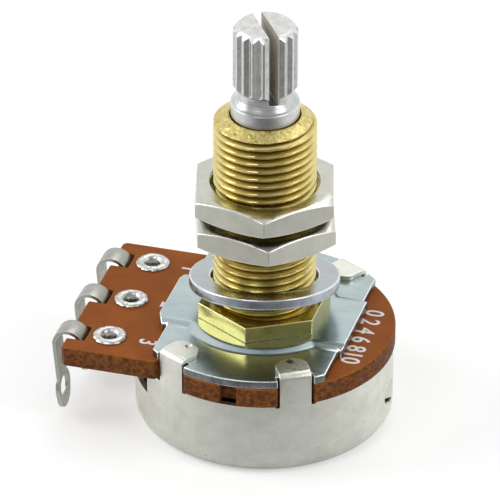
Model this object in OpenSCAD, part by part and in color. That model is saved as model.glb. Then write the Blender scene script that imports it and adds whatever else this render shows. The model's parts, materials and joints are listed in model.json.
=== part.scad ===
// Panel potentiometer with a long threaded bushing, a split knurled shaft and
// three riveted solder lugs. Millimetres. The origin is the centre of the can's
// back face, +Z runs up the shaft and the lugs are on the -X side.

/* [Can] */
// Outside diameter of the drawn can
can_d = 24.1; // [23:0.1:26]
// Height of the can wall, from its back to the wafer
can_h = 7.35; // [7.2:0.05:11]
// Thickness of the can's sheet
can_t = 0.5; // [0.4:0.05:0.6]
// Outside radius round the edge of the can's back
can_edge_r = 1.5; // [0.8:0.1:2.2]
// Width of each folded tab
tab_w = 3; // [2.4:0.1:3.8]
// Gap between the tip of each folded tab and the foot of the plate's boss
tab_clear = 1.55; // [0.2:0.05:1.8]
// Corner radius at the tip of a tab
tab_tip_r = 1.1; // [0.4:0.05:1.2]
// Angle between each tab and the Y axis
tab_deg = 30; // [27:1:33]
// How far the rim is cut down under the lugs
rim_drop = 2.65; // [1.5:0.05:3]
// Half of the arc over which the rim is cut down
rim_drop_deg = 42; // [38:1:46]
// Width of the window that the rotation stop is lanced from
stop_w = 2.4; // [2:0.1:3]
// Height of that window
stop_h = 2.3; // [1.8:0.1:2.6]

/* [Wafer] */
// Thickness of the phenolic wafer
wafer_t = 2; // [1.2:0.1:2.4]
// How far the wafer's round edge stands out past the can
wafer_overhang = 0.15; // [0:0.05:0.3]
// Distance from the axis to the end of the lug shelf
shelf_x = 16.75; // [16.2:0.05:17.5]
// Width of the lug shelf
shelf_w = 19.8; // [18.6:0.1:21]
// Width of the open notch in the wafer's rim, one on each side
rim_notch_w = 1.5; // [1:0.1:2]
// Thickness of the carbon track and of the collector ring
element_t = 0.15; // [0.1:0.05:0.2]
// Middle radius of the carbon track
track_r = 8.6; // [8.4:0.1:8.8]
// Width of the carbon track
track_w = 1.6; // [1.2:0.1:1.8]

/* [Lugs] */
// Distance from the axis to the row of rivets
rivet_x = 12.93; // [12.8:0.01:13.2]
// Spacing of the lugs along the shelf
lug_pitch = 6.8; // [6:0.1:7.2]
// Width of a lug's strip
lug_w = 2.2; // [1.8:0.1:2.4]
// Thickness of a lug's strip
lug_t = 0.35; // [0.25:0.05:0.4]
// Radius of the curl, to the middle of the strip
curl_r = 1.35; // [1.2:0.05:1.5]
// How far a lug leans in towards the can below its curl
lug_lean = 5.5; // [0:0.5:8]
// Distance from the middle of the curl down to the eye
eye_drop = 5; // [4:0.1:5.4]
// Diameter of the hole in a lug's eye
eye_hole_d = 2; // [1.4:0.1:2.2]
// Width of the eye
eye_w = 3.4; // [3.2:0.1:3.8]
// Diameter of a rivet's rolled rim
rivet_head_d = 3.25; // [2.8:0.05:3.6]
// Diameter of the hole through a rivet
rivet_hole_d = 1.2; // [0.8:0.05:1.4]

/* [Front plate] */
// Thickness of the front plate's sheet
plate_t = 0.8; // [0.6:0.05:1]
// How far the plate's round edges stand out past the can
plate_overhang = 0.05; // [0:0.05:0.15]
// Height of the pressed boss above the flat of the plate
boss_rise = 0.4; // [0.35:0.05:0.6]
// Radius of the top of the pressed boss
boss_r = 6.9; // [6.6:0.1:7.4]
// Half the width of the pressed band that runs along X
band_half_w = 3.9; // [3.2:0.1:4.2]
// Radius, from the axis, of the rounded ends of the band
band_end_r = 9.75; // [9.2:0.05:10.2]
// Run of the slope round the boss and the band
press_slope = 0.7; // [0.4:0.1:1]

/* [Bushing] */
// Outside diameter of the bushing's thread
thread_d = 9.525; // [9.4:0.025:9.6]
// Length of the bushing above its hexagon
bushing_len = 19.3; // [16:0.1:22]
// Width across the flats of the bushing's hexagon
base_af = 11; // [10.6:0.1:11.4]
// Height of the bushing's hexagon
base_h = 1.6; // [1.2:0.1:2.4]

/* [Nuts and washer] */
// Width across the flats of a nut
nut_af = 12.7; // [12:0.1:14]
// Thickness of a nut
nut_t = 2.38; // [2:0.02:2.6]
// Height of the lower nut above the bushing's hexagon
nut_lift = 6.9; // [6.7:0.1:7.6]
// Gap between the nuts
nut_gap = 0.62; // [0.3:0.02:1]
// Outside diameter of the flat washer
washer_d = 14; // [13:0.1:15]
// Thickness of the flat washer
washer_t = 1; // [0.8:0.05:1.1]
// How much wider the washer's hole is than the thread
washer_play = 0.475; // [0.4:0.025:0.55]

/* [Shaft] */
// Diameter of the round shaft
shaft_d = 6.35; // [6.2:0.05:6.4]
// Length of round shaft that stands out of the bushing
collar_len = 1.65; // [1.2:0.05:3]
// Diameter over the knurl's teeth
knurl_d = 6; // [5.8:0.05:6.1]
// Length of the knurl
knurl_len = 6.65; // [4:0.05:8]
// Number of teeth round the knurl
knurl_teeth = 18; // [16:2:24]
// Depth of the knurl's grooves
knurl_depth = 0.33; // [0.2:0.01:0.36]
// Width of the slot that splits the knurled end
split_w = 0.87; // [0.6:0.01:1]

/* [Wiper] */
// Half of the shaft's turn, each way from the middle
turn_deg = 150; // [135:1:151]
// Thickness of the rotor's disc
rotor_t = 2; // [1.8:0.1:2.1]
// Distance from the top of the rotor's hub up to the retaining ring
hub_drop = 1.06; // [0.8:0.02:1.2]
// Thickness of the wiper's spring strip
spring_t = 0.2; // [0.15:0.05:0.2]

/* [Hidden] */
$fn = 96;

// How far a cut runs on past the face that it opens
over = 1;

// Clearances, each between the same two kinds of faces all over the part
run_gap = 0.025;      // radial, between a turning shaft and its bore
thread_gap = 0.05;    // radial, between a nut's bore and the thread
slip_gap = 0.05;      // between a piece and the hole or slot that it is pushed into
seat_gap = 0.02;      // between two pieces that rest on each other
tab_gap = 0.2;        // each side of a tab in its notch
jam_gap = 0.06;       // between the tipped washer and the thread that holds it
turn_gap = 0.6;       // radial, between the rotor's stop lug and the can
wipe_gap = 0.05;      // between a wiper contact and the layer that it wipes

// Can
can_r = can_d / 2;
can_inner_r = can_r - can_t;
tab_bend_r = 0.3;
tab_bend_x = can_inner_r - tab_bend_r;
tab_seat_r = tab_bend_x - slip_gap;
tab_tip_x = boss_r + press_slope + tab_clear;
tab_round_r = min(tab_tip_r, tab_bend_x - tab_tip_x);
dimple_r = 0.5;
dimple_depth = 0.15;
dimple_x = tab_tip_x + 0.5;
tab_angles = [90 - tab_deg, 90 + tab_deg, 270 - tab_deg, 270 + tab_deg];
nick_w = 0.4;
nick_depth = 0.7;
stop_bend_deg = 45;
stop_reach = 0.95 * stop_w;
stop_slit = 0.25;
window_corner_r = 0.5;

// Wafer
wafer_z = can_h;
wafer_top = wafer_z + wafer_t;
wafer_r = can_r + wafer_overhang;
shelf_chamfer = 0.35;
rim_notch_depth = 1.1;
lug_notch_w = lug_w + 0.3;
element_z = wafer_z - element_t;
lug_rows = [-lug_pitch, 0, lug_pitch];
pad_r = 1.9;

// Lugs: a strip that is riveted under the shelf, comes up through its notch,
// curls over the shelf's end and hangs down outside it
foot_top = element_z;
foot_end_r = 1.45;
lug_bend_r = 0.3;
curl_x = -(shelf_x - 0.05);
curl_top = wafer_top + 0.5;
curl_z = curl_top - curl_r - lug_t / 2;
notch_x = curl_x + curl_r + lug_t / 2 + 0.15;
lean_end = 180 + lug_lean;
eye_tip_drop = 0.6;

// Rivets
rivet_r = rivet_hole_d / 2 + 0.3;
rivet_rim_h = 0.35;
rivet_base_h = 0.3;

// Front plate
plate_z = wafer_top;
plate_top = plate_z + plate_t;
plate_r = can_r + plate_overhang;
boss_top = plate_top + boss_rise;
press_inset = 0.25;
flat_x = [-8.1, 8.3];
band_x = [-9.2, 8.8];
spigot_r = 4.9;
plate_hole_r = spigot_r + slip_gap;

// Bushing
thread_r = thread_d / 2;
base_r = base_af / 2 / cos(30);
base_top = boss_top + base_h;
bushing_top = base_top + bushing_len;
cone_h = 0.6;
cone_step = 0.06;
nose_lip = 0.12;
bore_r = shaft_d / 2 + run_gap;
swage_r = 5.6;
swage_h = boss_rise - 0.1;
nose_r = 4.2;
nose_z = wafer_z + 0.6;
wafer_hole_r = nose_r + 0.3;

// Nuts
nut_r = nut_af / 2 / cos(30);
nut_hole_r = thread_r + thread_gap;
nut_rim_w = 0.36;
nut_rim_r = thread_r + nut_rim_w;
nut_face_share = 0.955;
nut_face_r = nut_face_share * nut_af / 2;
nut_chamfer_deg = 20;
lower_nut_z = base_top + nut_lift;
upper_nut_z = lower_nut_z + nut_t + nut_gap;
lower_nut_turn = 48.7;
upper_nut_turn = 45.3;

// The washer hangs tipped: its hole binds on the thread and its low side rests
// on a corner of the bushing's hexagon, which gives its tilt and its height
washer_r = washer_d / 2;
washer_hole_r = (thread_d + washer_play) / 2;
bind_span = norm([2 * washer_hole_r, washer_t]);
washer_tilt = acos((thread_d + 2 * jam_gap) / bind_span) - atan(washer_t / (2 * washer_hole_r));
washer_high_deg = -74.06;
rest_reach = base_r * cos(washer_high_deg + 90);
washer_z = base_top + seat_gap + washer_t / 2 / cos(washer_tilt) + rest_reach * tan(washer_tilt);

// Shaft
shaft_r = shaft_d / 2;
knurl_r = knurl_d / 2;
neck_inset = 0.17;
neck_r = knurl_r - knurl_depth - neck_inset;
shoulder_step = 0.15;
flare_r = shaft_r - shoulder_step;
flare_h = 0.9;
flare_hollow = 0.25;
collar_top = bushing_top + collar_len;
knurl_z = collar_top + flare_h;
shaft_top = knurl_z + knurl_len;
top_chamfer = 0.5;
low_chamfer = 0.6;
ring_groove_w = 0.5;
score_depth = 0.08;
score_drop = 0.3;
knurl_turn = -76.8;
split_turn = -57;
split_root = 0.35;
split_depth = shaft_top - knurl_z + split_root;
crest_deg = 4;

// Retaining ring and thrust washer, under the bushing's nose
thrust_t = 0.25;
thrust_z = nose_z - seat_gap - thrust_t;
ring_t = 0.45;
ring_z = thrust_z - seat_gap - ring_t;
ring_groove_r = 2.65;
ring_out_r = 4.1;
ring_mouth = 3.4;

// Rotor, hung under the retaining ring, and the stop in the can's wall beside it
hub_h = 1.6;
rotor_top = ring_z - hub_drop - hub_h;
rotor_z = rotor_top - rotor_t;
stop_drop = 0.25;
stop_z = rotor_z + rotor_t / 2 - stop_drop;
rotor_room = 1.85;
rotor_r = can_inner_r - rotor_room;
lug_out_r = can_inner_r - turn_gap;
stop_half_deg = 6;
stop_free_deg = 2;
stop_lug_half_deg = 180 - turn_deg - stop_half_deg - stop_free_deg;
hub_r = 3.9;
hub_top = rotor_top + hub_h;
tenon_r = 2.3;
tenon_flat = 3.6;
peen_r = 2.9;
peen_h = 0.5;
stake_x = 5.3;
stake_r = 0.5;

// Collector ring and wiper
collector_gap = 0.6;
collector_w = 1.4;
collector_r = ring_out_r + collector_gap + collector_w / 2;
spring_in_r = hub_r + 0.2;
spring_out_r = 6.5;
track_rise = element_z - wipe_gap - rotor_top;
finger_w = 1;
finger_slot = 0.25;
finger_deg = 45;
contact_r = 0.45;
ramp_len = (track_rise - contact_r - spring_t / 2 + (contact_r - spring_t / 2) * cos(finger_deg))
  / sin(finger_deg);
finger_run = ramp_len * cos(finger_deg) + (contact_r - spring_t / 2) * sin(finger_deg);

function polar(r, deg) = [r * cos(deg), r * sin(deg)];

// A rectangle given by its low and high corners
module box2d(low, high) {
  translate(low) square(high - low);
}

// Part of a ring, standing on z = 0
module ring_sector(r_in, r_out, h, from, to) {
  rotate([0, 0, from])
    rotate_extrude(angle = to - from)
      box2d([r_in, 0], [r_out, h]);
}

// A bent strip seen from its side: thickness t, middle radius r
module bend2d(r, t, from, to) {
  steps = 8;
  intersection() {
    difference() {
      circle(r + t / 2);
      circle(r - t / 2);
    }
    polygon(concat([[0, 0]], [for (i = [0:steps]) polar(3 * r + t, from + (to - from) * i / steps)]));
  }
}

// A profile in the XZ plane, pushed out to both sides along Y
module across(width) {
  rotate([90, 0, 0]) linear_extrude(width, center = true) children();
}

// Can

// A round pot with a rounded lower edge, from one height to another
module cup(radius, low, high, edge_r) {
  rotate_extrude() {
    box2d([0, low], [radius - edge_r, high]);
    box2d([0, low + edge_r], [radius, high]);
    translate([radius - edge_r, low + edge_r]) circle(edge_r);
  }
}

module can_shell() {
  difference() {
    cup(can_r, 0, can_h, can_edge_r);
    cup(can_inner_r, can_t, can_h + over, can_edge_r - can_t);
  }
}

// One tab: it stands up from the rim, bends over the plate's edge and lies flat,
// with the dent of the staking punch near its tip
module folded_tab() {
  bend_z = plate_top - tab_bend_r;
  root_z = can_h - nick_depth - 0.3;
  difference() {
    intersection() {
      union() {
        difference() {
          across(tab_w) box2d([tab_bend_x, root_z], [can_r, bend_z]);
          cylinder(h = plate_top, r = can_inner_r);
        }
        across(tab_w) translate([tab_bend_x, bend_z]) bend2d(tab_bend_r + can_t / 2, can_t, 0, 90);
        translate([0, 0, plate_top]) linear_extrude(can_t) tab_tip();
      }
      cylinder(h = plate_top + can_t + over, r = can_r);
    }
    translate([dimple_x, 0, plate_top + can_t + dimple_r - dimple_depth]) sphere(dimple_r);
  }
}

module tab_tip() {
  box2d([tab_tip_x + tab_round_r, -tab_w / 2], [tab_bend_x, tab_w / 2]);
  box2d([tab_tip_x, tab_round_r - tab_w / 2], [tab_bend_x, tab_w / 2 - tab_round_r]);
  for (side = [-1, 1])
    translate([tab_tip_x + tab_round_r, side * (tab_w / 2 - tab_round_r)]) circle(tab_round_r);
}

module rim_nicks() {
  for (side = [-1, 1])
    translate([can_inner_r - over, side * (tab_w + nick_w) / 2 - nick_w / 2, can_h - nick_depth])
      cube([can_t + 2 * over, nick_w, nick_depth + over]);
}

module stop_window() {
  translate([can_inner_r - over, 0, stop_z]) rotate([90, 0, 90]) linear_extrude(can_t + 2 * over) {
    box2d([-stop_w / 2, window_corner_r - stop_h / 2], [stop_w / 2, stop_h / 2 - window_corner_r]);
    box2d([window_corner_r - stop_w / 2, -stop_h / 2], [stop_w / 2 - window_corner_r, stop_h / 2]);
    for (y = [-1, 1], z = [-1, 1])
      translate([y * (stop_w / 2 - window_corner_r), z * (stop_h / 2 - window_corner_r)])
        circle(window_corner_r);
  }
}

// The lanced tongue that stops the rotor: hinged on one side of its window and
// bent in behind the wall
module stop_tongue() {
  tongue_h = stop_h - 2 * stop_slit;
  translate([can_r - can_t / 2, stop_w / 2, stop_z - tongue_h / 2]) {
    cylinder(h = tongue_h, d = can_t);
    rotate([0, 0, 180 + stop_bend_deg]) translate([0, -can_t / 2, 0]) cube([stop_reach, can_t, tongue_h]);
  }
}

module can_cover() {
  color("#c6c6bd") {
    difference() {
      can_shell();
      rotate([0, 0, 180]) translate([0, 0, can_h - rim_drop])
        ring_sector(can_inner_r - over, can_r + over, rim_drop + over, -rim_drop_deg, rim_drop_deg);
      for (deg = tab_angles) rotate([0, 0, deg]) rim_nicks();
      stop_window();
    }
    for (deg = tab_angles) rotate([0, 0, deg]) folded_tab();
    stop_tongue();
  }
}

// Wafer and what is on its underside

module shelf_outline() {
  half = shelf_w / 2;
  polygon([
    [0, -half], [0, half], [shelf_chamfer - shelf_x, half], [-shelf_x, half - shelf_chamfer],
    [-shelf_x, shelf_chamfer - half], [shelf_chamfer - shelf_x, -half]
  ]);
}

module tab_notches() {
  for (deg = tab_angles)
    rotate(deg) box2d([tab_seat_r, -tab_w / 2 - tab_gap], [wafer_r + over, tab_w / 2 + tab_gap]);
}

module wafer() {
  color("#82482a")
    translate([0, 0, wafer_z]) linear_extrude(wafer_t) difference() {
      union() {
        circle(wafer_r);
        shelf_outline();
      }
      circle(wafer_hole_r);
      tab_notches();
      for (y = lug_rows) {
        box2d([-shelf_x - over, y - lug_notch_w / 2], [notch_x, y + lug_notch_w / 2]);
        translate([-rivet_x, y]) circle(rivet_r + slip_gap);
      }
      for (deg = [90, 270])
        rotate(deg)
          box2d([wafer_r - rim_notch_depth, -rim_notch_w / 2], [wafer_r + over, rim_notch_w / 2]);
    }
}

// Round pad under a rivet, joined to the element by a straight tail
module pad_and_tail(y, from, tail_w, radius) {
  to = [-rivet_x, y];
  run = to - from;
  translate(to) circle(radius);
  translate(from) rotate(atan2(run[1], run[0])) box2d([0, -tail_w / 2], [norm(run), tail_w / 2]);
}

module element_layer() {
  translate([0, 0, element_z]) linear_extrude(element_t) difference() {
    union() children();
    for (y = lug_rows) translate([-rivet_x, y]) circle(rivet_r + slip_gap);
  }
}

module carbon_track() {
  color("#2b2b2d") element_layer() {
    bend2d(track_r, track_w, -turn_deg, turn_deg);
    for (side = [-1, 1])
      pad_and_tail(side * lug_pitch, polar(track_r, side * turn_deg), track_w, pad_r);
  }
}

module collector_ring() {
  color("#b8b09a") element_layer() {
    difference() {
      circle(collector_r + collector_w / 2);
      circle(collector_r - collector_w / 2);
    }
    pad_and_tail(0, [-collector_r, 0], collector_w, pad_r);
  }
}

// Lugs and rivets

module lug_profile() {
  inner_x = curl_x + curl_r;
  bend_x = inner_x + lug_t / 2 + lug_bend_r;
  foot_z = foot_top - lug_t;
  bend_z = foot_top + lug_bend_r;
  box2d([bend_x, foot_z], [-rivet_x, foot_top]);
  translate([bend_x, bend_z]) bend2d(lug_bend_r + lug_t / 2, lug_t, 180, 270);
  box2d([inner_x - lug_t / 2, bend_z], [inner_x + lug_t / 2, curl_z]);
  translate([curl_x, curl_z]) bend2d(curl_r, lug_t, 0, lean_end);
}

// The hanging blade and its eye, in the plane of the strip: x across, y down it
module blade_outline() {
  difference() {
    union() {
      box2d([-lug_w / 2, 0], [lug_w / 2, eye_drop]);
      translate([0, eye_drop]) circle(d = eye_w);
      translate([0, eye_drop + eye_tip_drop]) circle(d = eye_w - 0.3);
    }
    translate([0, eye_drop]) circle(d = eye_hole_d);
  }
}

module lug(y) {
  color("#a3a596") translate([0, y, 0]) difference() {
    union() {
      across(lug_w) lug_profile();
      translate([-rivet_x, 0, foot_top - lug_t]) cylinder(h = lug_t, r = foot_end_r);
      translate([curl_x, 0, curl_z]) rotate([0, -lean_end, 0]) translate([curl_r - lug_t / 2, 0, 0])
        rotate([90, 0, 90]) linear_extrude(lug_t) blade_outline();
    }
    translate([-rivet_x, 0, foot_top - lug_t - over])
      cylinder(h = lug_t + 2 * over, r = rivet_r + slip_gap);
  }
}

module lug_1() { lug(lug_pitch); }
module lug_2() { lug(0); }
module lug_3() { lug(-lug_pitch); }

// A hollow rivet: flat head below, rim rolled over the wafer above
module rivet(y) {
  head_r = rivet_head_d / 2;
  hole_r = rivet_hole_d / 2;
  base_z = foot_top - lug_t - rivet_base_h;
  roll_r = rivet_rim_h / 2;
  color("#d2d2cc") translate([-rivet_x, y, 0]) rotate_extrude() {
    box2d([hole_r, base_z], [rivet_r, wafer_top + rivet_rim_h - roll_r]);
    box2d([hole_r, base_z], [head_r - 0.1, base_z + rivet_base_h]);
    box2d([hole_r + roll_r, wafer_top], [head_r - roll_r, wafer_top + rivet_rim_h]);
    translate([head_r - roll_r, wafer_top + roll_r]) circle(roll_r);
    translate([hole_r + roll_r, wafer_top + roll_r]) circle(roll_r);
  }
}

module rivet_1() { rivet(lug_pitch); }
module rivet_2() { rivet(0); }
module rivet_3() { rivet(-lug_pitch); }

// Front plate

// The pressed form's outside, or with an inset the hollow under it
module pressed_form(floor_z, top_z, inset, extra) {
  foot_r = boss_r + press_slope - inset;
  top_r = boss_r - inset;
  foot_y = band_half_w + press_slope - inset;
  top_y = band_half_w - inset;
  rise_z = top_z - boss_rise;
  translate([0, 0, floor_z]) cylinder(h = rise_z - floor_z, r = foot_r);
  translate([0, 0, rise_z]) cylinder(h = boss_rise, r1 = foot_r, r2 = top_r);
  intersection() {
    translate([band_x[0] - extra, 0, 0]) rotate([90, 0, 90])
      linear_extrude(band_x[1] - band_x[0] + 2 * extra)
        polygon([
          [-foot_y, floor_z], [foot_y, floor_z], [foot_y, rise_z], [top_y, top_z],
          [-top_y, top_z], [-foot_y, rise_z]
        ]);
    translate([0, 0, floor_z]) cylinder(h = top_z - floor_z, r = band_end_r + extra);
  }
}

module front_plate() {
  color("#aab9bc") difference() {
    union() {
      translate([0, 0, plate_z]) linear_extrude(plate_t) intersection() {
        circle(plate_r);
        box2d([flat_x[0], -plate_r], [flat_x[1], plate_r]);
      }
      pressed_form(plate_z, boss_top, 0, 0);
    }
    pressed_form(plate_z - over, plate_z + boss_rise, press_inset, over);
    translate([0, 0, plate_z - over]) linear_extrude(plate_t + boss_rise + 2 * over) {
      circle(plate_hole_r);
      tab_notches();
    }
  }
}

// Bushing

module bushing() {
  cone_r = thread_r - cone_step;
  lip_r = bore_r + nose_lip;
  swage_top = plate_z + boss_rise;
  color("#c8ae5a") difference() {
    union() {
      rotate_extrude() polygon([
        [0, nose_z], [nose_r, nose_z], [nose_r, swage_top - swage_h], [swage_r, swage_top - swage_h],
        [swage_r, swage_top], [spigot_r, swage_top], [spigot_r, boss_top], [thread_r, boss_top],
        [thread_r, bushing_top - cone_h - 0.1], [cone_r, bushing_top - cone_h],
        [lip_r, bushing_top], [0, bushing_top]
      ]);
      translate([0, 0, boss_top]) rotate([0, 0, 30]) cylinder(h = base_h, r = base_r, $fn = 6);
    }
    translate([0, 0, nose_z - over]) cylinder(h = bushing_top - nose_z + 2 * over, r = bore_r);
  }
}

// Nuts and washer

// A hexagon nut with both faces chamfered
module hex_nut(z, turn) {
  edge_drop = (nut_r + 0.1 - nut_face_r) * tan(nut_chamfer_deg);
  rim_drop_z = nut_rim_r - nut_hole_r;
  color("#b9b4aa") translate([0, 0, z]) rotate([0, 0, turn]) difference() {
    intersection() {
      cylinder(h = nut_t, r = nut_r, $fn = 6);
      rotate_extrude() polygon([
        [0, 0], [nut_face_r, 0], [nut_r + 0.1, edge_drop], [nut_r + 0.1, nut_t - edge_drop],
        [nut_face_r, nut_t], [0, nut_t]
      ]);
    }
    translate([0, 0, -over]) cylinder(h = nut_t + 2 * over, r = nut_hole_r);
    translate([0, 0, nut_t - rim_drop_z])
      cylinder(h = rim_drop_z + 0.1, r1 = nut_hole_r, r2 = nut_rim_r + 0.1);
    translate([0, 0, -0.1])
      cylinder(h = rim_drop_z + 0.1, r1 = nut_rim_r + 0.1, r2 = nut_hole_r);
  }
}

module lower_nut() { hex_nut(lower_nut_z, lower_nut_turn); }
module upper_nut() { hex_nut(upper_nut_z, upper_nut_turn); }

module flat_washer() {
  color("#adb0b3")
    translate([0, 0, washer_z]) rotate([0, 0, washer_high_deg]) rotate([0, -washer_tilt, 0])
      difference() {
        cylinder(h = washer_t, r = washer_r, center = true);
        cylinder(h = washer_t + 2 * over, r = washer_hole_r, center = true);
      }
}

// Shaft

// Slightly hollow flare between the collar and the neck under the knurl
function flare_points() = [
  for (i = [0:8]) let (t = i / 8)
    [flare_r - (flare_r - neck_r) * (t + flare_hollow * t * (1 - t)), collar_top + flare_h * t]
];

module shaft_round() {
  score_z = collar_top - score_drop;
  rotate_extrude() polygon(concat(
    [[0, hub_top], [shaft_r, hub_top], [shaft_r, ring_z - slip_gap], [ring_groove_r, ring_z - slip_gap],
     [ring_groove_r, ring_z + ring_groove_w], [shaft_r, ring_z + ring_groove_w],
     [shaft_r, score_z - score_depth], [shaft_r - score_depth, score_z],
     [shaft_r, score_z + score_depth]],
    flare_points(),
    [[neck_r, knurl_z + low_chamfer], [0, knurl_z + low_chamfer]]
  ));
}

function tooth_points() = [
  for (i = [0:knurl_teeth - 1]) let (a = knurl_turn + i * 360 / knurl_teeth)
    each [
      polar(knurl_r, a - crest_deg / 2), polar(knurl_r, a + crest_deg / 2),
      polar(knurl_r - knurl_depth, a + 180 / knurl_teeth)
    ]
];

module knurled_end() {
  intersection() {
    translate([0, 0, knurl_z]) linear_extrude(knurl_len) polygon(tooth_points());
    rotate_extrude() polygon([
      [0, knurl_z], [knurl_r - low_chamfer, knurl_z], [knurl_r + 0.05, knurl_z + low_chamfer + 0.05],
      [knurl_r + 0.05, shaft_top - top_chamfer - 0.05], [knurl_r - top_chamfer, shaft_top],
      [0, shaft_top]
    ]);
  }
}

// Flatted end that carries the rotor, with its peened head
module tenon() {
  translate([0, 0, rotor_z]) linear_extrude(hub_top - rotor_z) tenon_outline(0);
  translate([0, 0, rotor_z - peen_h]) cylinder(h = peen_h, r1 = peen_r - 0.5, r2 = peen_r);
}

module tenon_outline(gap) {
  intersection() {
    circle(tenon_r + gap);
    square([2 * (tenon_r + over), tenon_flat + 2 * gap], center = true);
  }
}

module shaft() {
  color("#bcbfbf") {
    tenon();
    difference() {
      union() {
        shaft_round();
        knurled_end();
      }
      rotate([0, 0, split_turn]) translate([-knurl_r - over, -split_w / 2, shaft_top - split_depth])
        cube([2 * (knurl_r + over), split_w, split_depth + over]);
    }
  }
}

// Rotor and what turns with it

module rotor() {
  color("#3a2a20") {
    difference() {
      union() {
        translate([0, 0, rotor_z]) cylinder(h = rotor_t, r = rotor_r);
        translate([0, 0, rotor_z]) cylinder(h = hub_top - rotor_z, r = hub_r);
        rotate([0, 0, 180]) translate([0, 0, rotor_z])
          ring_sector(rotor_r - over, lug_out_r, rotor_t, -stop_lug_half_deg, stop_lug_half_deg);
      }
      translate([0, 0, rotor_z - over]) linear_extrude(hub_top - rotor_z + 2 * over)
        tenon_outline(seat_gap);
    }
    for (y = [-stake_x, stake_x]) translate([0, y, rotor_top]) {
      cylinder(h = spring_t + 0.3, r = stake_r);
      translate([0, 0, spring_t + seat_gap]) cylinder(h = 0.28, r1 = stake_r + 0.35, r2 = stake_r);
    }
  }
}

// Side view of one sprung finger, rooted at the origin: a ramp that ends in a
// rounded contact
module finger_profile() {
  across_ramp = [-sin(finger_deg), cos(finger_deg)];
  ramp_end = polar(ramp_len, finger_deg);
  rotate(finger_deg) box2d([0, 0], [ramp_len, spring_t]);
  translate(ramp_end - (contact_r - spring_t / 2) * across_ramp)
    bend2d(contact_r, spring_t, finger_deg - 40, finger_deg + 94);
}

// Two prongs side by side, whose contacts wipe at the given radius
module finger(radius) {
  prong = (finger_w - finger_slot) / 2;
  for (side = [-1, 1])
    translate([radius + side * (prong + finger_slot) / 2, -finger_run, rotor_top])
      rotate([90, 0, 90]) linear_extrude(prong, center = true) finger_profile();
}

module finger_foot(radius) {
  box2d([0, -finger_run - 0.5], [radius + finger_w / 2, 0.2 - finger_run]);
}

module wiper_spring() {
  color("#c9a66b") {
    translate([0, 0, rotor_top]) linear_extrude(spring_t) difference() {
      union() {
        circle(spring_out_r);
        finger_foot(track_r);
        rotate(180) finger_foot(collector_r);
      }
      circle(spring_in_r);
      rotate(180) box2d([spring_in_r - 1, 0.2 - finger_run], [spring_out_r + 1, finger_run / 2]);
      for (y = [-stake_x, stake_x]) translate([0, y]) circle(stake_r + slip_gap);
    }
    finger(track_r);
    rotate([0, 0, 180]) finger(collector_r);
  }
}

module retaining_ring() {
  color("#8f8f8f") translate([0, 0, ring_z]) linear_extrude(ring_t) difference() {
    circle(ring_out_r);
    circle(ring_groove_r + slip_gap);
    box2d([0, -ring_mouth / 2], [ring_out_r + over, ring_mouth / 2]);
  }
}

module thrust_washer() {
  color("#6d5a48") translate([0, 0, thrust_z]) difference() {
    cylinder(h = thrust_t, r = nose_r);
    translate([0, 0, -over]) cylinder(h = thrust_t + 2 * over, r = shaft_r + slip_gap);
  }
}

can_cover();
wafer();
front_plate();
bushing();
shaft();
lower_nut();
upper_nut();
flat_washer();
lug_1();
lug_2();
lug_3();
rivet_1();
rivet_2();
rivet_3();
carbon_track();
collector_ring();
rotor();
wiper_spring();
retaining_ring();
thrust_washer();
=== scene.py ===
"""Dresses the rotary potentiometer: its surfaces, its screw thread, its print and its studio.

Lengths are in millimetres, unless a docstring says metres, and are turned into metres where a
mesh is made. The part stands on z = 0, its shaft runs up +Z and its solder lugs are on the -X
side.
"""

import json
import logging
import math
import random
from dataclasses import dataclass, field
from enum import Enum
from typing import Any, Callable, Iterable, Sequence

import bmesh
import bpy
from mathutils import Matrix, Vector, noise

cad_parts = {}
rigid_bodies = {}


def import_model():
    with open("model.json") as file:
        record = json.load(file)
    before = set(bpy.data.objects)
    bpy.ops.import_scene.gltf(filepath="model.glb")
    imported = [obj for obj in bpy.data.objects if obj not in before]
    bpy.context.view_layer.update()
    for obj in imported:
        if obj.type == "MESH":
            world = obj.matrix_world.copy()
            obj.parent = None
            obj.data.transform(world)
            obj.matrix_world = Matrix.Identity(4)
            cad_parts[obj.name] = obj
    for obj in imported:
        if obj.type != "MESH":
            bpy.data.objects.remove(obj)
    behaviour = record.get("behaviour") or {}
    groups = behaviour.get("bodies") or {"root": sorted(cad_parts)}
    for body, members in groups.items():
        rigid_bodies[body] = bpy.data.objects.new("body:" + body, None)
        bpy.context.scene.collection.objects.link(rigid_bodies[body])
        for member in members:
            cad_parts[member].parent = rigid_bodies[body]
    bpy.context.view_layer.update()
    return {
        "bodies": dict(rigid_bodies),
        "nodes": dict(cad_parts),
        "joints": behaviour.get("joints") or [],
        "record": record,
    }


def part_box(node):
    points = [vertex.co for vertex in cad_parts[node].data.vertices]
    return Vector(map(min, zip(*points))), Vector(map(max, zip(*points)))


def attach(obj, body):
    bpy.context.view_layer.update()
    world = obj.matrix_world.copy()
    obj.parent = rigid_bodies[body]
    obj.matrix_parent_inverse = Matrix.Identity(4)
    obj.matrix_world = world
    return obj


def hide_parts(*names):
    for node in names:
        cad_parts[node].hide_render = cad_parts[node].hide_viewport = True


LOG = logging.getLogger("potentiometer")
MM = 0.001

# Corners nearer than this many millimetres are one corner
WELD = 0.002
# Faces that meet at less than this angle are one face
FLAT_DEG = 0.3
# Cut and sheared edges have at least this angle
CUT_DEG = 50.0
# The lugs, each with its rivet and its printed number
LUG_NUMBERS = (1, 2, 3)

Colour = tuple[float, float, float]
Profile = Sequence[tuple[float, float]]


class Body(Enum):
    """The bodies that a piece can ride on."""

    HOUSING = "housing"
    SPINDLE = "spindle"
    DEPTH_NUT = "depth_nut"
    CLAMP_NUT = "clamp_nut"


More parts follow.
